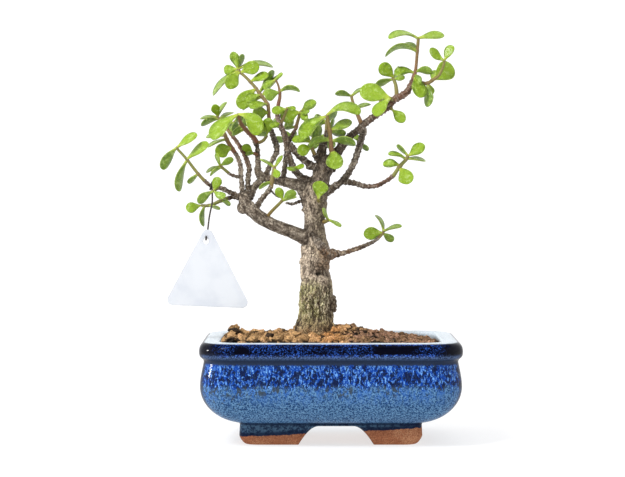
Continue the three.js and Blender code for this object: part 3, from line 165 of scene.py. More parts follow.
# Swellings of the bark: x, z, y, half width, half height, half depth.
KNOBS = [
    [1.3, 79.2, -1, 3, 4.2, 4], [1.9, 76, -2.2, 1.9, 2, 2.2], [0.9, 82.4, 0.5, 1.9, 1.7, 2.4],
    [1.2, 108.2, 0, 3.2, 3.1, 3.2], [-51.6, 135.4, -13.5, 3.6, 4, 4], [-12, 159.8, -3.5, 2.6, 2.6, 2.6],
    [19.2, 180, 4, 2.4, 2.4, 2.2], [-16.2, 134, -1, 1.4, 1.6, 1.6], [-16.6, 103.5, -1, 1.8, 2.4, 2.4],
    [-49.4, 139, -16.6, 2.6, 2.2, 2], [-34, 125.6, -11, 2.4, 2, 2.4], [-7.2, 149.6, -5.8, 2.2, 1.9, 2],
    [-13, 118.8, -5.4, 2.6, 3, 2.4], [-6.2, 99.7, -7.4, 4.7, 2.3, 2.1],
]

# The hole in the trunk and the wrinkled fold over it: x, z, y, then how far each reaches in x, y and z.
HOLLOW, HOLLOW_REACH = [-6.4, 96.3, -9.2], [3.6, 3.2, 0.95]
FOLD, FOLD_REACH = [-5.6, 101, -9.4], [5.6, 5, 4.2]

# Leafy shoots: redness of the stem, from green at 0 to rust at 1. Stem: x, z, y, diameter. Leaves: base x,
# base z, tip x, tip z, tip depth past the base, width as seen, bulge of the arch, 1 if the upper face shows
# and -1 if the lower one does.
SHOOTS = {
    "shoot_far_left": (0.25, [[-74.2, 151, -22, 2.1], [-77.5, 154.6, -22.5, 1.9], [-81, 159, -23, 1.8],
        [-84.5, 163.6, -24, 1.7], [-87.5, 167, -24.5, 1.6], [-90, 169.8, -25, 1.5],
        [-90.6, 171.3, -25, 1.3]], [
        [-90, 170.6, -78.3, 178, -3, 4.7, 0.5, 1], [-90.4, 170.6, -98.3, 157.4, 2, 5.5, 1, -1],
        [-84.5, 163.6, -71.5, 172.5, -5, 5, 0.5, 1], [-84.5, 163.2, -88.5, 144.8, 4, 4.3, 1.5, -1],
        [-77.8, 155, -83, 149.2, 5, 2.8, 0.5, -1]]),
    "shoot_over_tag": (0.2, [[-66.4, 147, -20, 2.1], [-68, 145.6, -23, 1.9], [-69.3, 144.8, -25, 1.7]], [
        [-68.8, 145.2, -65.3, 153, -1, 5.5, 0.3, 1], [-69.2, 144.8, -77.8, 137.7, -2, 5, 0.6, -1],
        [-68.8, 144.9, -61.8, 141.8, -4, 4.5, 0.5, -1]]),
    "shoot_low_left": (0.15, [[-59.8, 141, -12, 2.4], [-65, 139.1, -11, 2.2], [-70, 136.9, -10, 1.9],
        [-74.5, 136.3, -9, 1.7], [-76.3, 136.6, -8.5, 1.5]], [
        [-76, 136.5, -85, 134.3, 3, 6, 0.2, 1], [-74.2, 136.2, -74.8, 124.1, -4, 2.9, 0.8, -1],
        [-64, 139.4, -58.8, 137.6, -5, 3, 0, 1], [-71.8, 136.6, -65.3, 135.4, -6, 1.8, 0.3, 1]]),
    "shoot_left_bud": (0.2, [[-60.2, 155.8, -18.2, 1.9], [-63.2, 158.3, -20, 1.7], [-64.6, 159.4, -21, 1.6],
        [-65.1, 160.4, -21.4, 1.4]], [
        [-65, 160, -66.6, 167.2, -4, 2.3, 0.3, 1], [-64.6, 159.8, -57, 163.4, 3, 4, 0.5, -1],
        [-64.8, 159.4, -73.2, 155.8, 2, 1.8, 0.5, 1], [-64.2, 159, -70.9, 154, -5, 1.8, 0.5, -1]]),
    "shoot_left_middle": (0.6, [[-56.2, 167.4, -5.3, 2.6], [-59.5, 172.5, -4, 2.6], [-61.3, 176, -3.5, 2.4],
        [-62.6, 179.6, -3, 1.8]], [
        [-61, 175.4, -72.2, 170.6, -2, 1.6, 0.8, 1], [-61.8, 177.6, -73.2, 176.8, 4, 3, 0.4, 1],
        [-56.4, 170.5, -67, 166, -6, 8.2, 1.4, 1], [-62.5, 179.2, -60.6, 186.6, 2, 4, 0.2, -1]]),
    "shoot_left_crown": (0.4, [[-57.6, 177.1, 4.8, 2], [-61, 181.6, 6, 1.9], [-64, 185.3, 7, 1.7],
        [-66.5, 188.5, 8, 1.5], [-66.9, 189.6, 8.2, 1.2]], [
        [-66.4, 188.6, -61, 197.4, 3, 2, 0.5, 1], [-66.7, 188.8, -68.8, 195.8, -5, 5, 0.3, 1],
        [-66.5, 188.4, -76.7, 187.4, 3, 1.6, 0.5, 1], [-65.8, 187.6, -76.2, 183.6, -4, 3.5, 0.5, -1],
        [-65.5, 187.2, -57.3, 191.2, 6, 1.8, 0.5, 1], [-58.8, 178.8, -54.2, 184.6, 6, 4, 0.3, -1]]),
    "shoot_left_drooping": (0.7, [[-43.4, 173.8, 4, 2.8], [-45.2, 176.6, 2, 2.7], [-47.5, 178.8, 0, 2.6],
        [-50, 181.3, -3, 2.4], [-52.3, 184.2, -6, 2.2], [-53.5, 187, -9, 2], [-54.3, 189.6, -11, 1.8],
        [-54.5, 190.6, -11.6, 1.4]], [
        [-54.4, 189.8, -69, 175, -5, 8, 2, 1], [-54.3, 190, -44.3, 177.6, -6, 9, 4.5, 1],
        [-52.2, 184, -56.7, 177.6, 3, 2.8, 0.3, -1], [-50, 181.3, -58, 178.2, 4, 3.6, 0.4, 1]]),
    "shoot_left_inner": (0.4, [[-43, 173.2, 4.5, 2.1], [-40, 174.4, 2.5, 2], [-38.3, 176.3, 0.5, 1.9],
        [-37.5, 178, -0.5, 1.8]], [
        [-37.6, 177.6, -36.2, 188, -4, 6.8, 0, 1], [-37.6, 177.4, -42, 178.6, -8, 3.5, 0.2, -1],
        [-37.8, 177.3, -43.6, 184.4, -9, 5.6, 0.8, 1]]),
    "shoot_left_stub": (0.9, [[-43.2, 166.4, 5, 2.1], [-45.6, 167.3, 3, 1.8]], [
        [-45.4, 167.3, -51.5, 172, -4, 5.4, 0.3, 1], [-45.2, 167.1, -50.2, 166, -5, 2.5, 0.3, -1]]),
    "shoot_top_left": (0.45, [[-35.8, 185, 9, 2.5], [-36.4, 190, 10, 2.3], [-37, 196, 11, 2.2],
        [-38.5, 198.2, 12, 2.2], [-41, 201.3, 13, 2.1], [-44, 205.5, 15, 2], [-47, 209, 16, 1.9],
        [-50, 212, 17, 1.8], [-53, 214.7, 18, 1.7], [-54.9, 217, 18.5, 1.5]], [
        [-54.4, 216.4, -57.6, 226.8, -3, 5.5, -0.5, 1], [-54.7, 216.8, -50.6, 224.7, 5, 3.6, 0.3, -1],
        [-54.6, 216.6, -62.6, 215.4, 6, 6, 0.3, 1], [-53.2, 214.9, -59.7, 204.9, -5, 8, 1, 1],
        [-53.8, 215.7, -69, 201, 4, 3.3, 1.5, 1], [-54.6, 216.6, -33.8, 217.6, 4, 2.8, 2.5, 1],
        [-52.8, 214.5, -41.8, 218.2, -6, 8, 0.8, 1], [-47.2, 209.2, -36.4, 212.9, -3, 5, 0.5, 1],
        [-42, 202.8, -33, 215.5, 5, 4.5, -0.5, -1], [-43.6, 205, -52.8, 193.2, -4, 9, 1.5, 1],
        [-40.2, 200.4, -51.7, 192.6, 4, 3, 1, 1], [-41, 201.3, -49.9, 198, -5, 5.5, 0.5, 1],
        [-36.4, 191, -45.8, 190, -9, 8, 0.6, 1], [-36.9, 195.6, -47, 193.4, -10, 4.6, 1.5, 1],
        [-40.4, 200.7, -28.4, 214, 3, 2.4, 0.3, 1]]),
    "shoot_top_middle": (0.65, [[-31.4, 191.6, -6.8, 2.5], [-30.4, 197.3, -7, 2.2], [-29.8, 200, -7.5, 2],
        [-29.9, 203.3, -8, 1.8], [-30.4, 206, -8.5, 1.3], [-31.3, 208.6, -9, 1.2],
        [-32.6, 210.7, -9.5, 1.1]], [
        [-32.2, 210.2, -28, 214.1, -2, 1.9, 0.2, 1], [-32.3, 210.2, -39.2, 204.8, 3, 4.5, 0.5, 1],
        [-29.8, 203.4, -18, 203.4, -4, 3, 2, -1], [-29.8, 203, -38.6, 200.4, -6, 7, 0.4, -1]]),
    "shoot_middle_upper": (0.5, [[-20.6, 181.2, 0, 2.2], [-19.3, 186, 1, 2], [-18.2, 189.6, 0.5, 1.8],
        [-17.4, 192.2, 0, 1.5]], [
        [-17.5, 191.8, -9.3, 198.4, 4, 5.6, -0.5, 1], [-18, 190, -12.4, 191.6, -5, 3, 0.3, 1],
        [-17.8, 191, -28.6, 186.4, -4, 9, 1.4, 1], [-17.6, 191.4, -14.2, 186.8, -5, 4.6, 0.2, 1],
        [-20.2, 182.9, -26.6, 181.3, 4, 2, 0.2, -1]]),
    "shoot_middle_side": (0.4, [[-29.6, 184, -5.6, 2], [-27.4, 188.6, -7.4, 1.8], [-25.9, 192.8, -8.5, 1.6],
        [-25.6, 194.3, -8.8, 1.3]], [
        [-25.9, 193, -34.3, 191.2, -4, 5, 0.5, 1], [-25.7, 193.8, -20.6, 193, -3, 2.5, 0.2, 1],
        [-29.5, 184.8, -35.4, 182.6, -5, 3.8, 0.3, 1]]),
    "shoot_middle_low": (0.4, [[-35.1, 146.6, -15, 2.7], [-34, 153.5, -14, 2.4], [-33.2, 157.8, -13, 2],
        [-32.8, 159.6, -12.6, 1.6]], [
        [-32.9, 159.2, -28.5, 166, 3, 2, -0.3, 1], [-33.2, 158.2, -31.2, 152.8, -5, 4.5, 0.3, 1],
        [-33, 158.8, -41.6, 163.8, 3, 1.2, 0.3, 1], [-34.6, 150.6, -42.2, 146.2, -3, 2, 0.3, -1]]),
    "shoot_middle_bud": (0.4, [[-20.9, 157.4, -3.4, 2], [-21.2, 158.8, -8, 1.7]], [
        [-21.2, 158.6, -24, 157, -9, 4, 0.2, 1], [-21.2, 158.6, -15.6, 159.2, -5, 3, 0.2, 1]]),
    "shoot_lower_middle": (0.4, [[-37.4, 129.8, -10.6, 2.2], [-34.5, 133.2, -14, 2], [-32, 135.7, -17, 1.9],
        [-29.6, 138.1, -20, 1.8], [-28, 139.9, -21.5, 1.5]], [
        [-28.2, 139.6, -31.8, 146.7, -3, 5, 0.4, 1], [-28.1, 139.7, -20.4, 144.5, -4, 5, 0.3, -1],
        [-28.6, 139, -20, 141.6, 4, 1.5, 0.2, 1]]),
    "shoot_heart_left": (0.4, [[-9, 165.8, -2, 2.6], [-10.9, 170.2, -5, 2.1], [-11.6, 173, -7, 1.8],
        [-11.7, 174.3, -7.5, 1.4]], [
        [-11.6, 173.4, -22.6, 174.6, 2, 4.6, 1.2, 1], [-10.8, 170.4, -19.2, 167.4, -6, 6.8, 0.6, 1],
        [-11.7, 173.8, -5.6, 183.2, 5, 5.6, -0.5, -1], [-11.6, 173.6, -16.6, 178.6, 6, 4, 0.2, -1]]),
    "shoot_heart_tall": (0.55, [[1.1, 165.8, -1, 3], [0.7, 168.6, -5, 2.9], [0.3, 172, -6.5, 2.7],
        [0.1, 175, -7, 2.6], [-0.5, 180, -8, 2.5], [-1.4, 185.3, -9, 2.4], [-2, 188.6, -9.5, 2.2],
        [-2.2, 190, -9.8, 1.8]], [
        [-2.1, 188.8, -16.3, 175.6, -4, 7.5, 2.5, 1], [-2.1, 189.4, 17.3, 190.2, -3, 5.5, 4.3, 1],
        [0.1, 174.4, -12.4, 170.4, -5, 4.5, 2.4, -1], [0.1, 174.4, 14.8, 172.3, -4, 5, 1, -1],
        [-0.6, 180.6, 12.3, 186.2, 3, 5.5, -0.3, 1], [-0.5, 180.2, 2.2, 187, 7, 2, 0, -1],
        [-0.5, 180, 8.4, 177.6, 7, 4.5, 0.3, -1], [0.6, 169.4, 2.3, 157.8, -4, 10, 0.8, 1]]),
    "shoot_heart_back": (0.4, [[-2.6, 179.2, 3.6, 2.1], [-2.5, 184.6, 6, 1.6], [-2.5, 186.3, 7, 1.3]], [
        [-2.5, 185, -6.4, 184.6, 3, 1.6, 0.1, 1], [-2.5, 185.8, -9.5, 187.5, 8, 5, 0.3, -1],
        [-2.5, 186, 4, 191.5, 8, 5, 0.3, -1]]),
    "shoot_trunk_front": (0.4, [[-7, 138.6, -5.5, 2.3], [-7.1, 140.8, -10, 2.1]], [
        [-7.1, 140.6, -4.9, 150.7, -1, 9, 0.3, 1]]),
    "shoot_trunk_bud": (0.4, [[-4, 126.7, -4, 2.5], [-1, 128, -7, 2]], [
        [-1.2, 127.9, -4.6, 135, -3, 2, -0.3, 1], [-1.1, 128, 5.9, 123.8, -4, 2.1, 0.4, 1]]),
    "shoot_low_right": (0.4, [[27.8, 117, 14.8, 2], [30.4, 119.8, 15.5, 1.8], [31.3, 121.4, 16, 1.5]], [
        [30.8, 120.4, 19.6, 119, -5, 7.5, 0.5, 1], [30.6, 120.2, 36.5, 115, 4, 4.6, 0.4, -1],
        [31.2, 121, 26.2, 130.8, 3, 2, 1.4, 1], [31.2, 121.2, 42, 124, -3, 2.2, 0.8, 1]]),
    "shoot_right": (0.15, [[36.8, 153.6, -19.8, 2.5], [40, 158.4, -21, 2.2], [42, 160.9, -21.5, 2.2],
        [44.3, 163.4, -22, 2], [45.3, 165.2, -22.3, 1.7], [45.6, 166.4, -22.5, 1.4]], [
        [40.4, 158.8, 45.3, 148.9, -4, 8.7, 1, 1], [41.2, 159.8, 30.8, 160.6, 3, 4.9, 0.8, 1],
        [44.4, 163.6, 34, 166.4, -3, 2.3, 1.3, 1], [44.6, 164, 56, 162.6, 3, 2, 0.5, 1],
        [45.4, 165.4, 54.8, 172.7, 2, 6.4, -0.4, 1], [45.4, 165.8, 38.8, 171.5, 5, 2.4, 0.2, -1]]),
    "shoot_top_right": (0.58, [[48.3, 210.2, 3, 2.6], [50, 216.2, 3, 2], [50.5, 221, 2.5, 1.9],
        [51, 227.5, 2, 1.9], [51.5, 233.6, 1.5, 1.8], [51.6, 235, 1.4, 1.5]], [
        [51.6, 234.4, 34.2, 234.4, -3, 2.9, 3, 1], [51.6, 234.8, 66.8, 236.4, 3, 4.6, 0.3, 1],
        [50.9, 226.8, 32.2, 223.8, -4, 3, 4.2, -1], [51, 227.4, 43.4, 231.8, 7, 3.5, 0.6, 1],
        [49.8, 214.8, 59.7, 214.3, -2, 4.6, 1.3, -1], [49.5, 214, 37.9, 213.2, -3, 4.8, 2, 1],
        [49, 212.4, 52.4, 199.8, -9, 8.2, 1, 1], [49.4, 213.6, 53, 208, -5, 3.5, 0.3, -1]]),
    "shoot_far_right": (0.45, [[47.6, 209.6, 3.4, 2.5], [50.6, 210, 4.6, 2.3], [53.5, 208.6, 3, 2.3],
        [57, 208.3, 1, 2.2], [60.3, 210.4, -1, 1.9], [63.6, 212.8, -3, 1.7], [65.6, 216.4, -4, 1.6],
        [66.9, 221, -5, 1.5], [67, 222.3, -5.2, 1.3]], [
        [66.9, 221.6, 71.4, 230.6, 2, 5.4, 0, 1], [66.9, 221.6, 58.5, 228.8, -3, 5, -0.9, 1],
        [60, 210.1, 71.8, 218.4, 6.5, 11.2, 0, 1], [59.5, 209.8, 61.6, 216, 4, 4.5, 0, -1],
        [57, 208.3, 57.1, 194.4, -3, 5.2, 0.2, -1], [57.2, 208.4, 59, 201.5, 5, 5, 0.2, 1]]),
    "shoot_leader_side": (0.35, [[38.9, 200, 4, 2.7], [38.7, 204.5, 8, 2.4], [38.2, 207.6, 10.5, 2.1],
        [37.2, 210.6, 12.5, 1.9], [36.9, 211.8, 13, 1.5]], [
        [36.9, 211.4, 28.8, 219, -3, 8, 0.5, 1], [37.1, 210.8, 26.8, 206.2, 3, 3.9, 0.6, -1],
        [37.2, 210.6, 43.6, 211.2, -4, 3.2, 0.3, 1], [36.9, 211.6, 41.5, 216.5, 8, 4, 0.3, -1]]),
    "shoot_leader_front": (0.4, [[36.8, 198.2, 3, 2.2], [35.8, 199, -1, 2], [35.2, 199.6, -3.2, 1.7]], [
        [35.5, 199.3, 17.2, 204, 3, 10.5, 0.5, 1], [35.3, 199.5, 26.6, 188.8, -5, 6.6, 1, 1],
        [35.5, 199.4, 30.8, 200.2, 8, 2.6, 0.6, -1]]),
    "shoot_leader_under": (0.4, [[34.6, 194.9, 2, 2.1], [36.2, 192.7, 0.5, 1.9]], [
        [35.9, 193, 43.3, 185.4, -2, 6.2, 0.3, 1]]),
    "shoot_right_inner": (0.55, [[19.2, 180.4, 4, 2.9], [17.7, 185.6, 5, 2.7], [16.4, 188.6, 6, 2.4],
        [14.8, 192.6, 7, 2.1], [13.2, 197, 8, 1.8], [12.4, 200.2, 8.5, 1.6], [12.3, 201.3, 8.6, 1.3]], [
        [12.3, 200.8, 2.8, 202.5, -4, 3.6, 0.3, -1], [12.4, 200.8, 20.3, 205.7, 4, 1.8, 0.4, 1],
        [14.6, 193.2, 23.4, 196.1, 5, 2.3, 0.4, 1]]),
    "shoot_right_bud": (0.4, [[17.4, 172.6, 3.8, 1.9], [17.4, 173.8, 8.4, 1.6]], [
        [17.4, 173.6, 13.2, 178.4, 4, 3.6, 0.2, 1], [17.4, 173.4, 21.8, 168.5, 3, 3, 0.2, -1]]),
    "shoot_back_top": (0.4, [[-4.6, 167, 35.2, 2.8], [-5.5, 173, 39, 2.3], [-7.5, 177, 41, 2],
        [-9.5, 181, 42.5, 1.7], [-10, 182.4, 43, 1.4]], [
        [-5.5, 173, -13, 170, -5, 4.5, 0.4, 1], [-5.5, 173, 2.5, 171, 6, 5, 0.4, -1],
        [-7.3, 176.8, -14, 180.4, 7, 5, 0.3, -1], [-7.5, 177, -1.2, 176, -6, 4, 0.3, 1],
        [-9.9, 182, -15.6, 186.4, 5, 5, 0.3, -1], [-9.9, 182, -3.8, 187.2, 6, 5, 0.3, -1]]),
    "shoot_back_left": (0.4, [[-22.8, 170.6, 38.6, 2.4], [-25.5, 176, 41, 1.9], [-27.5, 180, 42, 1.6],
        [-28, 181.4, 42.3, 1.3]], [
        [-25.4, 175.8, -19.8, 178.6, 7, 4, 0.3, -1], [-25.4, 175.8, -32.6, 174.2, 6, 4.4, 0.3, -1],
        [-27.9, 181, -21.6, 186.4, 5, 5, 0.3, -1], [-27.9, 181, -33.6, 187, 5, 5, 0.3, -1],
        [-27.9, 180.8, -25.2, 175.6, -7, 5, 0.3, 1]]),
    "shoot_back_far_left": (0.4, [[-48.6, 179.4, 17.6, 2.3], [-51.5, 182, 23, 2], [-54.5, 184, 28, 1.8],
        [-57, 185.6, 31, 1.5]], [
        [-52.4, 182.6, -59.6, 179.4, 5, 5, 0.3, -1], [-52.4, 182.6, -47.4, 187.2, 6, 5, 0.3, -1],
        [-56.8, 185.4, -63.4, 181.6, 6, 5, 0.3, -1], [-56.8, 185.4, -50.6, 188.6, 6, 4.6, 0.3, -1],
        [-56.6, 185.4, -56.4, 177.6, -6, 5, 0.3, 1]]),
    "shoot_back_low": (0.4, [[-9, 112, 5, 2.8], [-9, 115.5, 12, 2.4], [-8.8, 119, 17, 2.1],
        [-8.6, 123, 21, 1.8], [-8.5, 124.4, 22, 1.4]], [
        [-9, 116, -14.6, 119.6, 5, 5, 0.3, -1], [-9, 116, -4.4, 112.4, 6, 5, 0.3, -1],
        [-8.7, 120.4, -9.4, 127.8, 9, 5, 0.3, -1], [-8.6, 124, -13.6, 129, 4, 5, 0.3, -1],
        [-8.6, 124, -4.4, 129.6, 6, 5, 0.3, -1]]),
    "shoot_back_right": (0.4, [[29.7, 191, 0.5, 2.3], [30, 195, 9, 2], [29, 198.5, 15, 1.8],
        [27, 201.5, 20, 1.6], [26.3, 202.8, 21.5, 1.3]], [
        [29.9, 195.6, 27.4, 190.8, 6, 4.4, 0.3, -1], [27.4, 201, 20.8, 202, 6, 5, 0.3, -1],
        [26.5, 202.4, 24.4, 207.2, 8, 4.5, 0.3, -1], [27.2, 201.2, 31, 197.6, 8, 3.6, 0.3, -1]]),
}

LEAF_WIDTH_RATIO = 0.58
LEAF_CUP = 0.16
LEAF_WIDEST = 0.65
PETIOLE_RATIO = 0.14
LEAF_FULLNESS, LEAF_WAVE = 1.05, 0.025
SHOOT_SEED = 21

# The tag and its wire. Corners: x, z. Hole: x, z, radius. Wire: x, z, y.
TAG_CORNERS = [[-98.2, 78], [-46.6, 75.9], [-72.4, 126]]
TAG_CORNER_RADIUS = 3.2
TAG_Y = -21
TAG_HOLE = [-73.3, 115.6, 1.7]
WIRE = [
    [-70.9, 145.6, -22.6], [-70.5, 147.6, -23], [-69.9, 149.6, -22.2], [-69.5, 150.4, -20.7],
    [-69.6, 149.6, -19.1], [-69.8, 147.6, -18.3], [-69.6, 143, -18.5], [-69.7, 138, -19], [-70.3, 135, -19.2],
    [-71.3, 130, -19.4], [-72.2, 123, -19.5], [-72.9, 118.4, -19.5], [-73.2, 116.7, -20.1],
    [-73.3, 116.3, -21], [-73.3, 116.8, -21.9], [-73.2, 118.6, -22.3],
]

# The pot: half the length and width of its plain outline, the levels in it, and the arches through its foot
# ring, each from its left end over its flat top to its right end.
HALF_LENGTH, HALF_WIDTH = 75, 55
NARROWER = HALF_LENGTH - HALF_WIDTH
CORNER_RADIUS = 19.0
CORNER_SHRINK = 0.45
MOUTH_HALF_LENGTH = 63.5
FLOOR_Z = 16.0
UNDERSIDE_Z = 10.0
FOOT_HEIGHT = 11.5
INNER_FOOT = 42.4
DRAIN_X = 28.0
DRAIN_RADIUS = 5.0
FRONT_ARCH = [-18.6, -7, 13, 24.6]
SIDE_ARCH = [-11, -5, 5, 11]
ARCH_TOP = 9.6

# The glaze changes at these heights.
COBALT_LOW, GROOVE_LOW, RIM_LOW = 33.8, 46.7, 52.0

# The soil: its level at the trunk and how far the fill lies below it, how far the bed sinks between two
# places on the right, how far it dips within a reach of the wall, and its heaps: height, then middle and
# reach in x and in y.
SOIL_LEVEL, FILL_DEPTH = 59.3, 2.8
SINK, SINK_FROM, SINK_TO = 2.4, 30, 56
WALL_DIP, WALL_REACH = 1.6, 6
HEAPS = [[2.6, -57.5, 4.2, 0, math.inf], [6.2, 8, 15, 6, 24], [0.9, -22, 10, 0, math.inf]]

# Granules start this far from the trunk's middle, lie this deep in the bed and are this flat.
TRUNK_CLEARANCE, GRANULE_DEPTH, GRANULE_HEIGHT = 8.5, 0.7, 0.86

# Any direction that no limb runs along, to turn a tube's section from.
SLANT = np.array([0.31, -0.9, 0.2])


def place(points):
    """The frame's metres for points in millimetres from the middle of the pot."""
    return np.asarray(points, float) / MM + POT_MIDDLE


def seen(rows):
    """Points for rows of x, z, y: the eye's ray through x, 0, z is followed to depth y."""
    rows = np.asarray(rows, float)
    on_plane = np.stack([rows[..., 0], np.zeros(rows.shape[:-1]), rows[..., 1]], axis=-1)
    share = (rows[..., 2] - EYE[1]) / -EYE[1]
    return EYE + (on_plane - EYE) * share[..., None]


def unit(vectors):
    """Each vector over its own length."""
    length = np.linalg.norm(vectors, axis=-1, keepdims=True)
    return vectors / np.maximum(length, 1e-9)


def circle(count):
    """Angles spread evenly once round."""
    return np.linspace(0, 2 * np.pi, count, endpoint=False)


def smoothstep(low, high, values):
    """0 below low, 1 above high and 3t^2 - 2t^3 between them."""
    t = np.clip((values - low) / (high - low), 0, 1)
    return t * t * (3 - 2 * t)


def dome(values, middle, spread):
    """The bell curve exp(-u^2), where u is the distance from the middle over the spread."""
    return np.exp(-((values - middle) / spread)**2)


def lattice_noise(points, cell, seed):
    """Value noise from 0 to 1: a scrambled number at each corner of a cubic lattice with this cell, blended
    across the cell with 3t^2 - 2t^3 along each axis."""
    spot = np.asarray(points, float) / cell
    corner = np.floor(spot).astype(np.int64)
    t = smoothstep(0, 1, spot - corner)
    total = np.zeros(spot.shape[:-1])
    for number in range(8):
        step = np.array([number & 1, (number >> 1) & 1, (number >> 2) & 1])
        share = np.where(step == 1, t, 1 - t).prod(axis=-1)
        at = corner + step
        mixed = at[..., 0] * 73856093 + at[..., 1] * 19349663 + at[..., 2] * 83492791 + seed * 40503
        mixed = (mixed ^ (mixed >> 13)) & 0xFFFFFF
        mixed = (mixed * 1103515 + 12345) & 0xFFFFFF
        mixed = mixed ^ (mixed >> 9)
        total += share * (mixed & 0xFFFF) / 65535
    return total


TURN = np.array([[0.36, 0.48, -0.8], [-0.8, 0.6, 0.0], [0.48, 0.64, 0.6]])


def rough_noise(points, cell, seed):
    """Two octaves of lattice noise, turned so that the lattice shows neither upright nor level lines."""
    first = lattice_noise(points @ TURN, cell, seed)
    return 0.66 * first + 0.34 * lattice_noise(points @ TURN.T, cell * 0.47, seed + 50)


def smooth_rows(rows, step):
    """Resamples rows along a cubic Hermite curve whose slopes are the weighted differences of its neighbours.
    Returns the new rows and the length along the curve at each."""
    rows = np.asarray(rows, float)
    at = np.concatenate([[0], np.cumsum(np.linalg.norm(np.diff(rows[:, :3], axis=0), axis=1))])
    slope = np.gradient(rows, at, axis=0)
    where = np.linspace(0, at[-1], max(3, int(at[-1] / step) + 1))
    k = np.clip(np.searchsorted(at, where, side="right") - 1, 0, len(at) - 2)
    span = (at[k + 1] - at[k])[:, None]
    t = (where - at[k])[:, None] / span
    curve = (
        (2 * t**3 - 3 * t**2 + 1) * rows[k] + (t**3 - 2 * t**2 + t) * span * slope[k]
        + (3 * t**2 - 2 * t**3) * rows[k + 1] + (t**3 - t**2) * span * slope[k + 1]
    )
    return curve, where


def smooth_limb(rows, step):
    """smooth_rows() for rows of x, z, y, diameter as seen: new rows of x, y, z, radius, and their lengths."""
    rows = np.asarray(rows, float)
    return smooth_rows(np.column_stack([seen(rows[:, :3]), rows[:, 3] / 2]), step)


def ring_quads(count, around, closed=False):
    """Quads between rings of points that are numbered ring by ring; closed joins the last ring to the
    first."""
    i = np.arange(count - (not closed))[:, None] * around
    j = np.arange(around)[None, :]
    k = (j + 1) % around
    after = (i + around) % (count * around)
    return np.stack([i + j, i + k, after + k, after + j], axis=-1).reshape(-1, 4)


def shell(rings):
    """A closed shell from rings of points, shape (rings, around, 3), with a point in the middle of each
    end."""
    rings = np.asarray(rings, float)
    count, around = rings.shape[:2]
    points = np.concatenate([rings.reshape(-1, 3), rings[[0, -1]].mean(axis=1)])
    quads = ring_quads(count, around)
    j = np.arange(around)
    k = (j + 1) % around
    last = (count - 1) * around
    fans = np.concatenate([
        np.stack([np.full(around, count * around), k, j], axis=-1),
        np.stack([np.full(around, count * around + 1), last + j, last + k], axis=-1),
    ])
    a, b, c = points[quads[:, 0]], points[quads[:, 1]], points[quads[:, 2]]
    if (np.cross(b - a, c - a) * (a - points.mean(axis=0))).sum() < 0:
        quads, fans = quads[:, ::-1], fans[:, ::-1]
    return points, quads, fans


def ring_shell(rings):
    """A closed shell that joins its last ring to its first, as round a hole."""
    quads = ring_quads(*rings.shape[:2], closed=True)
    points = rings.reshape(-1, 3)
    a, b, c, d = (points[quads[:, n]] for n in range(4))
    volume = (a * np.cross(b, c)).sum() + (a * np.cross(c, d)).sum()
    return points, quads if volume > 0 else quads[:, ::-1], []


def sections(along):
    """Two directions across each direction of a path, from cross products with the slant."""
    side = unit(np.cross(along, SLANT))
    return side, np.cross(side, along)


def tube_rings(path, radii, around):
    """A round section carried along a path. Radii may be a number for each point or for each point and
    angle."""
    side, up = sections(unit(np.gradient(path, axis=0)))
    radii = np.asarray(radii, float)
    radii = radii if radii.ndim == 2 else radii[:, None]
    angle = circle(around)[None, :, None]
    return path[:, None] + radii[..., None] * (np.cos(angle) * side[:, None] + np.sin(angle) * up[:, None])


class Parts:
    """Shells gathered into one mesh, with a material number for each and named numbers for each point."""

    def __init__(self):
        self.points, self.quads, self.triangles = [], [], []
        self.quad_paint, self.triangle_paint, self.values = [], [], {}
        self.count = 0

    def add(self, points, quads, triangles, paint=0, **values):
        """One more shell. Each of its values is a number for all of its points or one for each."""
        self.points.append(points)
        if len(quads):
            self.quads.append(quads + self.count)
            self.quad_paint.append(np.full(len(quads), paint))
        if len(triangles):
            self.triangles.append(triangles + self.count)
            self.triangle_paint.append(np.full(len(triangles), paint))
        for key, value in values.items():
            self.values.setdefault(key, []).append(np.broadcast_to(np.asarray(value, float), (len(points),)))
        self.count += len(points)

    def mesh(self, name, smooth=True):
        """A mesh of all shells so far, in the frame's metres."""
        mesh = bpy.data.meshes.new(name)
        points = place(np.concatenate(self.points))
        faces = [group for group in (self.quads, self.triangles) if group]
        corners = np.concatenate([np.concatenate(group).ravel() for group in faces])
        sizes = np.concatenate([np.full(sum(map(len, group)), group[0].shape[1]) for group in faces])
        paint = [np.concatenate(group) for group in (self.quad_paint, self.triangle_paint) if group]
        mesh.vertices.add(len(points))
        mesh.vertices.foreach_set("co", points.ravel())
        mesh.loops.add(len(corners))
        mesh.loops.foreach_set("vertex_index", corners.astype(np.int32))
        mesh.polygons.add(len(sizes))
        mesh.polygons.foreach_set("loop_start", (np.cumsum(sizes) - sizes).astype(np.int32))
        mesh.polygons.foreach_set("material_index", np.concatenate(paint).astype(np.int32))
        mesh.polygons.foreach_set("use_smooth", np.full(len(sizes), smooth))
        mesh.update(calc_edges=True)
        for key, values in self.values.items():
            set_values(mesh, key, np.concatenate(values))
        return mesh


def set_values(mesh, name, values):
    """Stores one number for each point of a mesh under a name that its material reads."""
    layer = mesh.attributes.new(name, "FLOAT", "POINT")
    layer.data.foreach_set("value", np.asarray(values, np.float32))


def show(name, mesh, *materials):
    """Puts a finished mesh into the scene, riding on the object's one body."""
    piece = bpy.data.objects.new(name, mesh)
    bpy.context.scene.collection.objects.link(piece)
    for material in materials:
        mesh.materials.append(material)
    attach(piece, "root")
    return piece


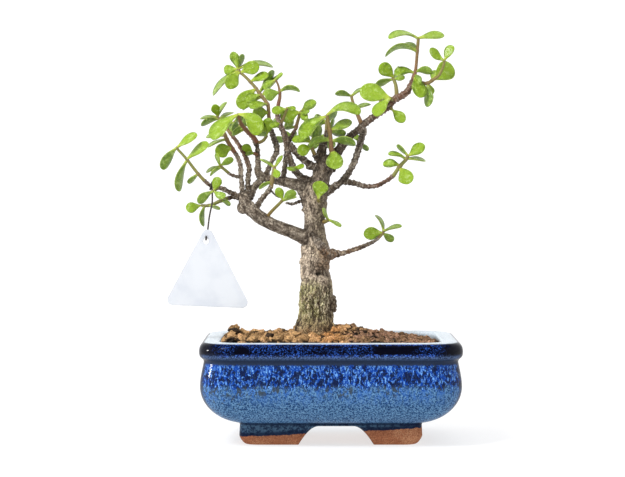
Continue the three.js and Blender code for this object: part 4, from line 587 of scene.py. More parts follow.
def settled(piece):
    """The piece's mesh with its modifiers applied, put back without them."""
    tree = bpy.context.evaluated_depsgraph_get()
    mesh = bpy.data.meshes.new_from_object(piece.evaluated_get(tree))
    piece.modifiers.clear()
    old = piece.data
    piece.data = mesh
    bpy.data.meshes.remove(old)
    return mesh


class Value:
    """A shader socket on which Python's operators work, each adding its Math node."""

    def __init__(self, paint, socket):
        self.paint, self.socket = paint, socket

    def maths(self, operation, *others):
        """Any operation of the Math node on this value and others."""
        return self.paint.node("ShaderNodeMath", {"operation": operation}, dict(enumerate((self, *others))))

    def __add__(self, other):
        return self.maths("ADD", other)

    def __sub__(self, other):
        return self.maths("SUBTRACT", other)

    def __rsub__(self, other):
        return self.paint.node("ShaderNodeMath", {"operation": "SUBTRACT"}, {0: other, 1: self})

    def __mul__(self, other):
        return self.maths("MULTIPLY", other)

    __radd__, __rmul__ = __add__, __mul__

    def ramp(self, low, high, start=0.0, end=1.0):
        """start below low, end above high and a smooth step between them."""
        settings = {"interpolation_type": "SMOOTHSTEP"}
        return self.paint.node("ShaderNodeMapRange", settings, {0: self, 1: low, 2: high, 3: start, 4: end})


class Paint:
    """A material whose one Principled shader is fed by expressions."""

    def __init__(self, name, **constants):
        self.material = bpy.data.materials.new(name)
        self.material.use_nodes = True
        self.tree = self.material.node_tree
        self.shader = next(n for n in self.tree.nodes if n.type == "BSDF_PRINCIPLED")
        for key, value in constants.items():
            self.shader.inputs[key.replace("_", " ")].default_value = value

    def node(self, kind, settings=None, inputs=None, output=0):
        """Any node: its settings are set first, then the values or links of its sockets."""
        node = self.tree.nodes.new(kind)
        for key, value in (settings or {}).items():
            setattr(node, key, value)
        for key, value in (inputs or {}).items():
            if isinstance(value, Value):
                self.tree.links.new(value.socket, node.inputs[key])
            elif node.inputs[key].type == "RGBA":
                node.inputs[key].default_value = (*value[:3], 1)
            else:
                node.inputs[key].default_value = value
        return Value(self, node.outputs[output])

    def numbers(self, names):
        """The numbers that the mesh keeps for its points, by their names."""
        kind = "ShaderNodeAttribute"
        return [self.node(kind, {"attribute_name": name}, output="Fac") for name in names.split()]

    def here(self):
        """Object coordinates in millimetres from the middle of the pot."""
        spot = self.node("ShaderNodeTexCoord", output="Object")
        moved = {0: spot, 1: (MM, MM, MM), 2: tuple(-MM * POT_MIDDLE)}
        return self.node("ShaderNodeVectorMath", {"operation": "MULTIPLY_ADD"}, moved)

    def stretch(self, spot, x, y, z):
        """Each coordinate of a spot times a number."""
        return self.node("ShaderNodeVectorMath", {"operation": "MULTIPLY"}, {0: spot, 1: (x, y, z)})

    def axes(self, spot):
        """The three coordinates of a spot."""
        return [self.node("ShaderNodeSeparateXYZ", inputs={0: spot}, output=name) for name in "XYZ"]

    def noise(self, spot, scale, detail=2.0, roughness=0.5, distortion=0.0):
        """Fractal noise from 0 to 1, mostly near 0.5."""
        inputs = {"Vector": spot, "Scale": scale, "Detail": detail, "Roughness": roughness}
        return self.node("ShaderNodeTexNoise", inputs={**inputs, "Distortion": distortion})

    def cracks(self, spot, scale):
        """How far it is to the nearest border between random cells."""
        inputs = {"Vector": spot, "Scale": scale}
        return self.node("ShaderNodeTexVoronoi", {"feature": "DISTANCE_TO_EDGE"}, inputs)

    def mix(self, first, second, share):
        """second over first by a share from 0 to 1, for colours."""
        return self.node("ShaderNodeMix", {"data_type": "RGBA"}, {0: share, 6: first, 7: second}, 2)

    def coats(self, colour, *coats):
        """Coats of a colour and its share, laid over a colour one after the other."""
        for coat, share in coats:
            colour = self.mix(colour, coat, share)
        return colour

    def shade(self, colour, amount):
        """A colour times a number."""
        grey = self.node("ShaderNodeCombineColor", inputs={0: amount, 1: amount, 2: amount})
        settings = {"data_type": "RGBA", "blend_type": "MULTIPLY"}
        return self.node("ShaderNodeMix", settings, {0: 1.0, 6: colour, 7: grey}, 2)

    def feed(self, **sockets):
        """Links expressions to the shader's sockets of these names."""
        for key, value in sockets.items():
            self.tree.links.new(value.socket, self.shader.inputs[key.replace("_", " ")])

    def bump(self, height, distance, strength=1.0):
        """Relief of this height pattern, distance in metres."""
        inputs = {"Height": height, "Distance": distance, "Strength": strength}
        self.feed(Normal=self.node("ShaderNodeBump", inputs=inputs))


def colour_setting(name, description, default):
    """A colour of the panel."""
    return FloatVectorProperty(name=name, description=description, default=default, subtype="COLOR",
                               size=3, min=0.0, max=1.0)


def length_setting(name, description, millimetres):
    """A length of the panel."""
    return FloatProperty(name=name, description=description, default=millimetres / MM, unit="LENGTH", min=0.0)


class PotSettings(bpy.types.PropertyGroup):
    """Glaze and clay of the pot"""
    navy: colour_setting("Rim glaze", "Dark glaze of the rolled rim", (0.004, 0.006, 0.022))
    cobalt: colour_setting("Cobalt", "Bright blue of the upper belly", (0.006, 0.042, 0.25))
    streak: colour_setting("Streaks", "Light streaks that run down the cobalt", (0.135, 0.33, 0.70))
    steel: colour_setting("Lower glaze", "Light speckle of the lower belly", (0.075, 0.18, 0.345))
    shadow: colour_setting("Speckle", "Dark speckle of the lower belly", (0.012, 0.04, 0.115))
    groove: colour_setting("Groove", "Slate glaze that gathers in the groove", (0.028, 0.046, 0.09))
    clay: colour_setting("Clay", "Bare clay of the foot and the underside", (0.34, 0.13, 0.065))
    gloss: FloatProperty(name="Glaze roughness", description="0 is a mirror", default=0.16, min=0, max=1)


class SoilSettings(bpy.types.PropertyGroup):
    """Granules of the soil"""
    coarse: length_setting("Coarse granule", "Radius of the granules on the left", 2.5)
    fine: length_setting("Fine granule", "Radius of the granules on the right", 1.45)
    ochre: colour_setting("Ochre", "Light granules", (0.55, 0.32, 0.135))
    rust: colour_setting("Rust", "Orange granules at the foot of the trunk", (0.66, 0.27, 0.07))
    umber: colour_setting("Umber", "Pinkish brown granules on the right", (0.275, 0.145, 0.088))
    # The gaps' dark is painted shade between the granules and under them, and also gives dark specks and the
    # darkest granules.
    dark: colour_setting("Gaps", "Shaded soil between the granules", (0.016, 0.009, 0.006))
    seed: IntProperty(name="Seed", description="Another number gives another scatter", default=7)


class WoodSettings(bpy.types.PropertyGroup):
    """Bark of the trunk and the limbs"""
    grain: length_setting("Surface step", "Size of the cells that join the limbs", 0.5)
    relief: FloatProperty(
        name="Relief", description="Depth of the bark's furrows", default=1.45, min=0, max=3)
    silver: colour_setting("Silver bark", "Light bark of the trunk", (0.56, 0.452, 0.34))
    brown: colour_setting("Brown bark", "Plain bark", (0.215, 0.148, 0.088))
    charred: colour_setting("Dark bark", "Bark of the old twigs and of the furrows", (0.035, 0.024, 0.019))
    young: colour_setting("Young bark", "Reddish bark of the young ends", (0.24, 0.088, 0.05))
    moss: colour_setting("Moss", "Green film low on the trunk", (0.32, 0.32, 0.10))
    rust: colour_setting("Rust", "Orange scars and the foot of the trunk", (0.46, 0.23, 0.10))


class LeafSettings(bpy.types.PropertyGroup):
    """Leaves and soft stems"""
    thickness: length_setting("Leaf thickness", "Thickness of a leaf at its stalk", 1.6)
    lime: colour_setting("Light leaf", "Colour of the lightest leaves", (0.205, 0.318, 0.010))
    deep: colour_setting("Deep leaf", "Colour of the darkest leaves", (0.062, 0.116, 0.005))
    yellow: colour_setting("Leaf base", "Yellow of the stalk", (0.42, 0.47, 0.06))
    green_stem: colour_setting("Green stem", "Stems that are still soft", (0.17, 0.18, 0.03))
    red_stem: colour_setting("Red stem", "Stems that turn woody", (0.185, 0.06, 0.03))


class TagSettings(bpy.types.PropertyGroup):
    """Hang tag and its wire"""
    plate: colour_setting("Plate", "Colour of the bare plate", (0.50, 0.525, 0.57))
    thickness: length_setting("Thickness", "Thickness of the plate", 0.8)
    wire: colour_setting("Wire", "Dark coating of the wire", (0.03, 0.022, 0.018))
    wire_diameter: length_setting("Wire diameter", "Diameter of the wire", 1.0)


class StageSettings(bpy.types.PropertyGroup):
    """Studio round the object"""
    floor: colour_setting("Floor", "Floor of the studio", (0.30, 0.30, 0.305))
    wall: colour_setting("Wall", "Wall of the studio", (0.47, 0.47, 0.475))
    radius: FloatProperty(name="Radius", description="Radius of the flat floor", default=2.6, unit="LENGTH")
    glow: FloatProperty(name="Glow", description="Light that the white wall gives", default=0.68, min=0)
    sky: FloatProperty(name="Sky", description="Strength of the even light", default=0.2, min=0)
    key: FloatProperty(name="Key", description="Power of the large light in watts", default=27, min=0)


# Colours that the paints need besides their settings. Of the glaze's, corner is a painted dark reflection on
# the rounded corners, and the two inside colours are a painted pale reflection within the rim.
GLAZE = SimpleNamespace(
    haze=(0.185, 0.335, 0.50), drift=(0.03, 0.11, 0.38), ash=(0.05, 0.062, 0.06), pool=(0.005, 0.008, 0.03),
    stain=(0.035, 0.045, 0.05), fleck=(0.010, 0.042, 0.30), black=(0.0008, 0.001, 0.005),
    glint=(0.022, 0.085, 0.40), slate=(0.015, 0.024, 0.055), mist=(0.085, 0.145, 0.30),
    crease=(0.016, 0.025, 0.05), corner=(0.004, 0.006, 0.014), line=(0.004, 0.008, 0.03),
    inside=(0.37, 0.43, 0.485), inside_reflection_light=(0.51, 0.56, 0.60), foot=(0.012, 0.026, 0.058),
    foot_light=(0.055, 0.11, 0.18), fired_clay=(0.17, 0.06, 0.032), pale_clay=(0.60, 0.33, 0.18),
)
BARK = SimpleNamespace(
    pale=(0.80, 0.69, 0.53), olive=(0.20, 0.165, 0.055), fold=(0.09, 0.055, 0.03),
    fold_light=(0.30, 0.20, 0.12), foot=(0.026, 0.017, 0.008), foot_light=(0.43, 0.315, 0.15),
    old_moss=(0.085, 0.09, 0.028), cream=(0.98, 0.88, 0.62), healed=(0.80, 0.58, 0.36),
    lump=(0.07, 0.045, 0.032), scar=(0.44, 0.39, 0.33), fleck=(0.57, 0.49, 0.39),
    furrow=(0.042, 0.026, 0.016), crack=(0.038, 0.022, 0.012), ring=(0.035, 0.026, 0.019),
    crease=(0.04, 0.025, 0.015), seam=(0.028, 0.02, 0.014), hollow=(0.018, 0.016, 0.009),
)
CLAY_DUST = (0.74, 0.55, 0.36)
# The leaves' pale speckle is partly a painted sheen.
LEAF_UNDER, LEAF_SPECKLE_AND_SHEEN, LEAF_RIM = (0.24, 0.37, 0.085), (0.47, 0.60, 0.22), (0.50, 0.56, 0.12)
STEM_STREAK, STEM_NODE = (0.42, 0.34, 0.10), (0.16, 0.09, 0.04)
TAG_CLOUD, TAG_SCUFF = (0.57, 0.59, 0.62), (0.38, 0.43, 0.50)
WORN_WIRE = (0.13, 0.09, 0.06)
SCREEN, SCREEN_DUST = (0.012, 0.013, 0.014), (0.07, 0.05, 0.035)

# The pot's profile, half length and height, in pieces that each begin where the last one ended: the number of
# points, then the far end of a straight piece or the other three corners of a curve.
PROFILE_START = (30, FLOOR_Z)
PROFILE_INSIDE = [
    (3, (51, FLOOR_Z)), (6, (57, FLOOR_Z), (63, 22), (65, 28)), (6, (66.4, 33), (67, 44), (66, 49)),
    (5, (65, 53.5), (63.7, 56), (63.6, 57.4)), (5, (63.6, 58.6), (64.6, 59), (66, 59)),
]
PROFILE_OUTSIDE = [
    (4, (71, 59.1)), (9, (74.6, 58.7), (75.6, 56.3), (75.6, 53.2)), (7, (75.6, 51), (74.9, 50), (73.7, 49.2)),
    (5, (72.9, 48.4), (72.9, 47.3), (73.2, 46.4)), (9, (73.8, 43), (75.1, 38.3), (75.1, 33.5)),
    (18, (75.2, 23), (66, 13.8), (54, 11.6)), (3, (53, 11.4), (52.7, 10.7), (52.7, 9.8)), (5, (53, 4)),
    (7, (52.9, 2.6), (50.6, -0.9), (49.4, FOOT_BOTTOM)),
]
PROFILE_UNDER = [
    (3, (44.8, FOOT_BOTTOM)), (4, (43.4, FOOT_BOTTOM), (42.9, -0.5), (43, 1)), (5, (43.5, 9)),
    (3, (43.5, 9.8), (43, UNDERSIDE_Z), (42.2, UNDERSIDE_Z)), (3, (21, UNDERSIDE_Z)),
]
# Of these points, the floor's first ones are bare clay, and so is the underside but for its first ones. The
# inside's pale, a painted reflection of the bright surroundings, reaches this many points over the rim.
FLOOR_POINTS, PALE_RIM_POINTS, GLAZED_UNDER_POINTS = 10, 5, 2


def pot_outline(half_length, side_points=(64, 44), corner_points=18):
    """Points round a rounded rectangle for each half length: the corner arcs, joined by straight sides.
    Every outline is the same distance in from the widest one all round, and its corner radius shrinks more
    slowly."""
    inset = HALF_LENGTH - np.asarray(half_length, float)
    radius = np.maximum(CORNER_RADIUS - CORNER_SHRINK * inset, 0.5)
    x, y = HALF_LENGTH - inset - radius, HALF_WIDTH - inset - radius
    corners = []
    for k, (sign_x, sign_y) in enumerate([(1, 1), (-1, 1), (-1, -1), (1, -1)]):
        turn = np.linspace(0, np.pi / 2, corner_points) + k * np.pi / 2
        corners.append(np.stack([
            (sign_x * x)[:, None] + radius[:, None] * np.cos(turn),
            (sign_y * y)[:, None] + radius[:, None] * np.sin(turn),
        ], axis=-1))
    loop = []
    for k in range(4):
        share = np.linspace(0, 1, side_points[k % 2] + 2)[1:-1, None]
        loop += [corners[k], corners[k][:, -1:] * (1 - share) + corners[(k + 1) % 4][:, :1] * share]
    return np.concatenate(loop, axis=1)


def chain(start, pieces):
    """Points along a chain of pieces, without its start. On each piece the neighbouring corners are blended
    by the share t of the way along it, again and again until one point is left, which gives a straight line
    from two corners and a cubic Bezier curve from four."""
    points = []
    for count, *corners in pieces:
        t = np.linspace(0, 1, count + 1)[1:, None]
        row = [np.array(corner, float) for corner in (start, *corners)]
        while len(row) > 1:
            row = [first * (1 - t) + second * t for first, second in zip(row, row[1:])]
        points.append(row[0])
        start = corners[-1]
    return np.concatenate(points)


def raised(flat, height):
    """Outlines with their height as a third coordinate."""
    return np.concatenate([flat, np.broadcast_to(height, flat.shape[:-1])[..., None]], axis=-1)


def arch_height(offset, arch):
    """Height of an arch cut through the foot ring: a quarter of a sine wave up from each end to its flat
    top."""
    left, left_top, right_top, right = arch
    rise = np.minimum((offset - left) / (left_top - left), (right - offset) / (right - right_top))
    return FOOT_BOTTOM + (ARCH_TOP - FOOT_BOTTOM) * np.sin(np.pi / 2 * np.clip(rise, 0, 1))**0.9


def pot_rings():
    """The pot's skin as outlines of growing and shrinking half length carried up and down: from the middle of
    its floor up the inside, over the rolled rim, down the belly, under the foot ring and to the middle of its
    underside. Near the ground each point is lifted clear of the arches through the foot ring. With them come
    three numbers for each point: bare clay, the pale inside of the rim, a painted reflection, and how far it
    faces the ends, which places the painted dark reflection on the corners."""
    inside = np.concatenate([[PROFILE_START], chain(PROFILE_START, PROFILE_INSIDE)])
    outside = chain(inside[-1], PROFILE_OUTSIDE)
    profile = np.concatenate([inside, outside, chain(outside[-1], PROFILE_UNDER)])
    under = len(inside) + len(outside)
    flat = pot_outline(profile[:, 0])
    lift = np.maximum(arch_height(flat[..., 0], FRONT_ARCH), arch_height(flat[..., 1], SIDE_ARCH))
    z = np.broadcast_to(profile[:, 1, None], lift.shape)
    row = np.arange(len(profile))[:, None]
    top = np.where(row < under, FOOT_HEIGHT, UNDERSIDE_Z + 0.3)
    lifted = lift + (z - FOOT_BOTTOM) * (top - lift) / (top - FOOT_BOTTOM)
    z = np.where((row > len(inside)) & (z < top) & (profile[:, :1] > INNER_FOOT), np.maximum(lifted, z), z)
    run = np.roll(flat, -1, axis=1) - np.roll(flat, 1, axis=1)
    numbers = {
        "bare": ((row < FLOOR_POINTS) | (row >= under + GLAZED_UNDER_POINTS), 1),
        "pale": ((row >= FLOOR_POINTS) & (row < len(inside) + PALE_RIM_POINTS), 0),
        "end": (np.abs(run[..., 1]) / np.maximum(np.hypot(run[..., 0], run[..., 1]), 1e-6), 0),
    }
    values = {
        name: np.append(np.broadcast_to(value, z.shape).ravel(), [middle, middle])
        for name, (value, middle) in numbers.items()
    }
    return raised(flat, z), values


def drilled(piece, middle, radius, low, high):
    """Cuts a round hole straight up through a piece."""
    tool = Parts()
    path = np.array([[middle, 0, low], [middle, 0, (low + high) / 2], [middle, 0, high]])
    tool.add(*shell(tube_rings(path, np.full(3, radius), 40)))
    cutter = bpy.data.objects.new("drill", tool.mesh("drill"))
    bpy.context.scene.collection.objects.link(cutter)
    cut = piece.modifiers.new("drill", "BOOLEAN")
    cut.operation, cut.solver, cut.object = "DIFFERENCE", "EXACT", cutter
    bpy.context.view_layer.update()
    settled(piece)
    bpy.data.objects.remove(cutter)


def glaze_paint(settings):
    """Reactive glaze: navy on the rolled rim, slate in the groove, cobalt with light streaks that run down
    the upper belly, and a fine steel-blue speckle below, over bare clay at the foot and underneath. Painted
    dark reflections darken the rounded corners and the rim's ends, and a painted pale reflection lightens
    the inside and the top of the rim."""
    paint = Paint("blue_glaze", Coat_IOR=1.5, Specular_IOR_Level=0.01, Coat_Roughness=0.03)
    here = paint.here()
    x, y, z = paint.axes(here)
    bare, pale, end = paint.numbers("bare pale end")
    wide = paint.noise(here, 0.06, 3)
    edge = paint.noise(paint.stretch(here, 1, 1, 0.35), 0.2, 3, 0.6)
    blot = paint.noise(here, 0.34, 4, 0.65)
    speck = paint.noise(here, 1.05, 2, 0.7)
    grit = paint.noise(paint.stretch(here, 1, 1, 0.8), 2.1, 1, 0.6)
    runs = paint.noise(paint.stretch(here, 1, 1, 0.27), 1.15, 3, 0.68, 0.6)
    pool = paint.noise(paint.stretch(here, 1, 1, 0.62), 0.42, 3, 0.6, 0.8)
    even = speck * 0.5 + grit * 0.5

    haze = (speck * 0.45 + grit * 0.55).ramp(0.52, 0.58) * z.ramp(40, 14, 0.25, 0.75)
    lower = paint.coats(
        settings.shadow,
        (settings.steel, (speck * 0.7 + grit * 0.3).ramp(0.45, 0.53)),
        (GLAZE.haze, haze * 0.9),
        (GLAZE.drift, (runs * 0.6 + edge * 0.4).ramp(0.46, 0.56) * z.ramp(20, 33) * 0.7),
        (GLAZE.ash, (blot * 0.7 + wide * 0.3).ramp(0.61, 0.67) * 0.8),
    )
    pools = (pool * 0.65 + speck * 0.35 + z.ramp(47, 34) * 0.035).ramp(0.51, 0.54)
    cobalt = paint.coats(
        settings.cobalt,
        (settings.streak, (runs * 0.6 + speck * 0.2 + grit * 0.2).ramp(0.512, 0.55) * 0.9),
        (GLAZE.pool, pools * 0.94),
    )
    ragged = z + (edge - 0.5) * 9.0 + (runs - 0.5) * 9.0
    stains = (pool * 0.65 + wide * 0.35).ramp(0.54, 0.58) * z.ramp(27, 31) * z.ramp(36, 33.5)

    middle = z.ramp(52.4, 54.2) * z.ramp(58.6, 57.2)
    # ends rises towards both ends of the pot: it darkens the rim there as a painted dark reflection, keeps
    # the rim's light flecks off and thickens the coat.
    ends = x.maths("ABSOLUTE").ramp(58, 71)
    dark = (blot * 0.2 + wide * 0.1 + pool * 0.5 + speck * 0.2 + ends * 0.2 + middle * 0.2).ramp(0.515, 0.56)
    rim = paint.coats(
        settings.navy,
        (GLAZE.fleck, (speck * 0.65 + grit * 0.35).ramp(0.45, 0.55)),
        (settings.streak, even.ramp(0.54, 0.59) * 0.55),
        (GLAZE.black, dark),
        (GLAZE.glint, even.ramp(0.535, 0.57) * wide.ramp(0.4, 0.56) * (1 - ends) * 0.65),
    )
    groove = paint.coats(
        GLAZE.slate,
        (GLAZE.mist, (speck * 0.6 + grit * 0.4).ramp(0.45, 0.55)),
        (settings.groove, z.ramp(51.6, 49.8) * 0.85),
        (GLAZE.crease, z.ramp(49.9, 49.2) * 0.8),
    )
    # Painted dark reflection on the rounded corners, where they turn away from the front.
    corner = end.ramp(0.84, 0.97) * y.maths("ABSOLUTE").ramp(20, 36)
    tilt = z - x * 0.047
    line = tilt.ramp(9.4, 7.4) * 0.85 + z.ramp(10.0, 10.9) * z.ramp(13.0, 11.8) * 0.75
    foot = paint.mix(GLAZE.foot, GLAZE.foot_light, (speck * 0.5 + blot * 0.5).ramp(0.44, 0.56))
    glaze = paint.coats(
        lower,
        (cobalt, ragged.ramp(COBALT_LOW - 1.6, COBALT_LOW + 1.6)),
        (GLAZE.stain, stains * 0.85),
        (groove, (z + (runs - 0.5) * 3.0).ramp(GROOVE_LOW - 0.7, GROOVE_LOW + 0.7)),
        (rim, (z + (speck - 0.5) * 5.0).ramp(RIM_LOW - 1.0, RIM_LOW + 1.0)),
        (GLAZE.corner, corner * z.ramp(14, 24) * (blot * 0.3 + 0.7)),
        # Painted reflection: the inside and the top of the rim are pale.
        (paint.mix(GLAZE.inside, GLAZE.inside_reflection_light, speck.ramp(0.4, 0.6)), pale),
        (foot, z.ramp(12.6, 11.0)),
        (GLAZE.line, line * 0.95),
    )
    clay = paint.coats(
        settings.clay,
        (GLAZE.fired_clay, paint.noise(here, 1.3, 4, 0.7).ramp(0.42, 0.64)),
        (GLAZE.pale_clay, (grit * 0.5 + wide * 0.5).ramp(0.52, 0.6) * 0.5),
    )
    bareness = bare.maths("MAXIMUM", (tilt + (edge - 0.5) * 2.6).ramp(6.6, 6.0))
    paint.feed(
        Base_Color=paint.mix(glaze, clay, bareness),
        Roughness=bareness * 0.45 + (speck * 0.1 + settings.gloss),
        Coat_Weight=(1 - bareness) * (ends * 0.16 + 0.035),
    )
    paint.bump(blot * 0.5 + runs * 0.4 + bareness * grit * 0.5, 0.00025, 0.6)
    return paint.material


def soil_height(x, y):
    """A bed that sinks towards the right, a heap at the left end, a bank against the trunk's right side, and
    small waves, dipping to the wall all round."""
    limit = MOUTH_HALF_LENGTH - 0.3
    to_wall = np.minimum(limit - np.abs(x), limit - NARROWER - np.abs(y))
    inner = smoothstep(0, WALL_REACH, to_wall)
    bed = SOIL_LEVEL - SINK * smoothstep(SINK_FROM, SINK_TO, x)
    heaps = sum(
        height * dome(x, middle_x, reach_x) * dome(y, middle_y, reach_y)
        for height, middle_x, reach_x, middle_y, reach_y in HEAPS
    )
    waves = 0.45 * np.sin(1.1 * x + 0.8 * y) + 0.4 * np.sin(0.7 * x - 1.3 * y + 1)
    return bed + heaps * inner - WALL_DIP * (1 - inner) + waves


def soil_bed():
    """The fill: the pot's inner outlines carried up the wall, then drawn in towards the middle at the height
    of the soil, a little below its granules."""
    wall = np.array([[20, 16.4], [50, 16.4], [56.5, 19.5], [63.5, 28], [65.2, 36], [65, 48], [63.4, 55]])
    share = np.linspace(1, 0.01, 30)[:, None, None]
    top = pot_outline(np.array([MOUTH_HALF_LENGTH - 0.5]))[0] * share
    height = soil_height(top[..., 0], top[..., 1]) - FILL_DEPTH
    height = np.minimum(height, 60.5 + 4 * smoothstep(1, 0.8, share[..., 0]))
    return np.concatenate([raised(pot_outline(wall[:, 0]), wall[:, 1:]), raised(top, height)])


def lump():
    """A cube of two by two squares on each side, its points drawn in towards a ball."""
    grid = np.stack(np.meshgrid(*[[-1, 0, 1]] * 3, indexing="ij"), axis=-1).reshape(-1, 3)
    kept = np.abs(grid).max(axis=1) > 0
    number = np.cumsum(kept) - 1
    faces = []
    for axis in range(3):
        for side in (-1, 1):
            flat = number[grid[:, axis] == side].reshape(3, 3)
            quads = np.stack([flat[:-1, :-1], flat[1:, :-1], flat[1:, 1:], flat[:-1, 1:]], axis=-1)
            quads = quads.reshape(-1, 4)
            faces.append(quads if (side > 0) != (axis == 1) else quads[:, ::-1])
    points = grid[kept].astype(float)
    return points / np.linalg.norm(points, axis=1, keepdims=True)**0.45, np.concatenate(faces)


def turned(random, count):
    """Rotation matrices spread evenly, from random unit quaternions."""
    w, x, y, z = unit(random.normal(size=(count, 4))).T
    return np.stack([
        1 - 2 * (y * y + z * z), 2 * (x * y - z * w), 2 * (x * z + y * w),
        2 * (x * y + z * w), 1 - 2 * (x * x + z * z), 2 * (y * z - x * w),
        2 * (x * z - y * w), 2 * (y * z + x * w), 1 - 2 * (x * x + y * y),
    ], axis=-1).reshape(-1, 3, 3)


def scattered(random, spacing):
    """Spots on a grid that reaches past the mouth of the pot, each moved by a share of the spacing."""
    reach_x, reach_y, jitter = 66, 46, 0.42
    x, y = np.meshgrid(np.arange(-reach_x, reach_x, spacing), np.arange(-reach_y, reach_y, spacing))
    return np.stack([x, y], axis=-1).reshape(-1, 2) + random.uniform(-jitter, jitter, (x.size, 2)) * spacing


def inside_mouth(spots, margin):
    """True where a spot lies inside the mouth's rounded rectangle by the margin."""
    half = MOUTH_HALF_LENGTH - margin
    radius = CORNER_RADIUS - CORNER_SHRINK * (HALF_LENGTH - MOUTH_HALF_LENGTH)
    over = np.maximum(np.abs(spots) - [half - radius, half - NARROWER - radius], 0)
    return np.hypot(over[:, 0], over[:, 1]) < radius


def granules(settings):
    """Lumps of fired clay over the bed: one template, for each lump stretched, dented at random, turned, and
    set on the soil's height. They are coarse on the left and fine on the right."""
    random = np.random.default_rng(settings.seed)
    template, quads = lump()
    coarse, fine = settings.coarse * MM, settings.fine * MM
    # Each layer: spacing, radius, its ends to the left and right, and how deep its lumps are sunk.
    layers = (
        (4.9, coarse, -99, 12, 0.1), (4.2, coarse * 0.62, -99, 16, 0.9), (3.1, fine, -2, 99, 0.1),
        (2.9, fine * 0.75, -4, 99, 0.9), (5.6, fine * 0.7, -99, 99, -0.1),
    )
    rows = []
    for spacing, size, low, high, sink in layers:
        spots = scattered(random, spacing)
        border = random.normal(0, 5, len(spots))
        kept = inside_mouth(spots, size * 0.75) & (spots[:, 0] > low + border) & (spots[:, 0] < high + border)
        kept &= np.hypot(spots[:, 0] - TRUNK_X, spots[:, 1]) > TRUNK_CLEARANCE
        spots = spots[kept]
        radius = size * random.uniform(0.66, 1.25, len(spots))
        sunk = radius * (sink + random.uniform(-0.5, 0.4, len(spots))) + GRANULE_DEPTH
        rows.append(np.column_stack([spots, soil_height(spots[:, 0], spots[:, 1]) - sunk, radius]))
    rows = np.concatenate(rows)
    count = len(rows)
    shape = template * random.uniform(0.68, 1.22, (count, 1, 3))
    shape = shape * random.uniform(0.76, 1.2, (count, len(template), 1))
    shape = np.einsum("nij,nkj->nki", turned(random, count), shape) * rows[:, 3, None, None]
    points = shape * [1, 1, GRANULE_HEIGHT] + rows[:, None, :3]
    faces = quads + len(template) * np.arange(count)[:, None, None]
    red = smoothstep(2, 22, rows[:, 0] + random.normal(0, 5, count))
    tone = np.clip(random.normal(0.5, 0.24, count), 0, 1)
    warm = (dome(rows[:, 0], -3, 9) + dome(rows[:, 0], 1, 6) * 0.5) * random.uniform(0.1, 1.1, count)
    return points.reshape(-1, 3), faces.reshape(-1, 4), {
        "tone": tone.repeat(len(template)),
        "warm": np.clip(warm, 0, 1).repeat(len(template)),
        "red": red.repeat(len(template)),
        # up and under feed the painted shade: height over the soil's surface, and how low a point lies on its
        # granule.
        "up": (points[..., 2] - soil_height(points[..., 0], points[..., 1])).ravel(),
        "under": ((rows[:, None, 2] - points[..., 2]) / rows[:, None, 3]).ravel(),
    }


def soil_paint(settings):
    """Dusty fired clay: ochre, orange at the trunk, pinkish on the right, with dark specks and painted shade
    in the gaps below and under each granule.
    """
    paint = Paint("fired_clay_granules", Roughness=0.92, Specular_IOR_Level=0.25)
    here = paint.here()
    tone, warm, red, up, under = paint.numbers("tone warm red up under")
    dust = paint.noise(here, 0.9, 4, 0.68)
    grain = paint.noise(here, 3.0, 3, 0.7)
    colour = paint.coats(
        settings.ochre,
        (settings.umber, (red * 0.75 + (tone - 0.5) * 0.9).ramp(0.0, 1.0)),
        (settings.rust, warm * 0.6),
    )
    colour = paint.coats(
        paint.shade(colour, (tone * 1.25 + 0.23) * (dust.ramp(0.38, 0.58) * 0.85 + 0.38)),
        (CLAY_DUST, (dust * 0.5 + grain * 0.5).ramp(0.53, 0.6) * tone.ramp(0.3, 0.8) * 0.6),
        (settings.dark, grain.ramp(0.42, 0.34) * 0.5),
        # Painted shade: darker the lower a point lies on its granule and the deeper below the soil's surface.
        (settings.dark, under.ramp(-0.3, 0.38) * 0.92),
        (settings.dark, (up + red * 0.7).ramp(1.0, -1.2) * 0.72),
        (settings.dark, (up - red * 0.3).ramp(-0.2, -1.5) * 0.97),
        (settings.dark, tone.ramp(0.27, 0.12) * 0.8),
    )
    paint.feed(Base_Color=colour)
    paint.bump(dust * 0.7 + grain * 0.5, 0.0009)
    return paint.material


def limb_samples():
    """Every limb resampled: rows of x, y, z, radius, length along it, its direction and its tone."""
    samples = {}
    for name, (tone, rows) in LIMBS.items():
        path, length = smooth_limb(rows, 0.8)
        tone = np.tile(np.array(tone, float), (len(path), 1))
        tone[:, 2] *= smoothstep(0.25, 0.8, length / length[-1])
        if name == CHARRED_SPUR:
            tone[:, 0] += smoothstep(CHARRED_FROM, CHARRED_TO, path[:, 2])
        samples[name] = np.column_stack([path, length, unit(np.gradient(path[:, :3], axis=0)), tone])
    return samples


def trunk_ridge(angle, height):
    """The trunk is fluted a little, more so near its foot, and swells into uneven folds."""
    depth = 0.025 + 0.03 * np.clip((85 - height) / 25, 0, 1)
    return 1 + depth * np.cos(3 * angle + height / 14) + 0.02 * np.cos(5 * angle - height / 9)


def root_rings(turn, reach, thickness):
    """A surface root leaves the trunk at its foot and dives into the soil."""
    away, z, share = np.array([
        [3, 71, 0.8], [8.5, 66, 1], [reach - 1, 61.5, 0.9], [reach + 2, 56, 0.6], [reach + 3, 50, 0.35],
    ]).T
    angle = math.radians(turn)
    x, y = TRUNK_X + away * math.cos(angle), away * math.sin(angle)
    path, _ = smooth_rows(np.column_stack([x, y, z, share * thickness / 2]), 1.2)
    return tube_rings(path[:, :3], path[:, 3], 16)


# A knob's circles end at this share of a half turn on both sides, and it is a little larger than its row
# says.
BALL_LATITUDE, BALL_GROWTH = 0.46, 1.03


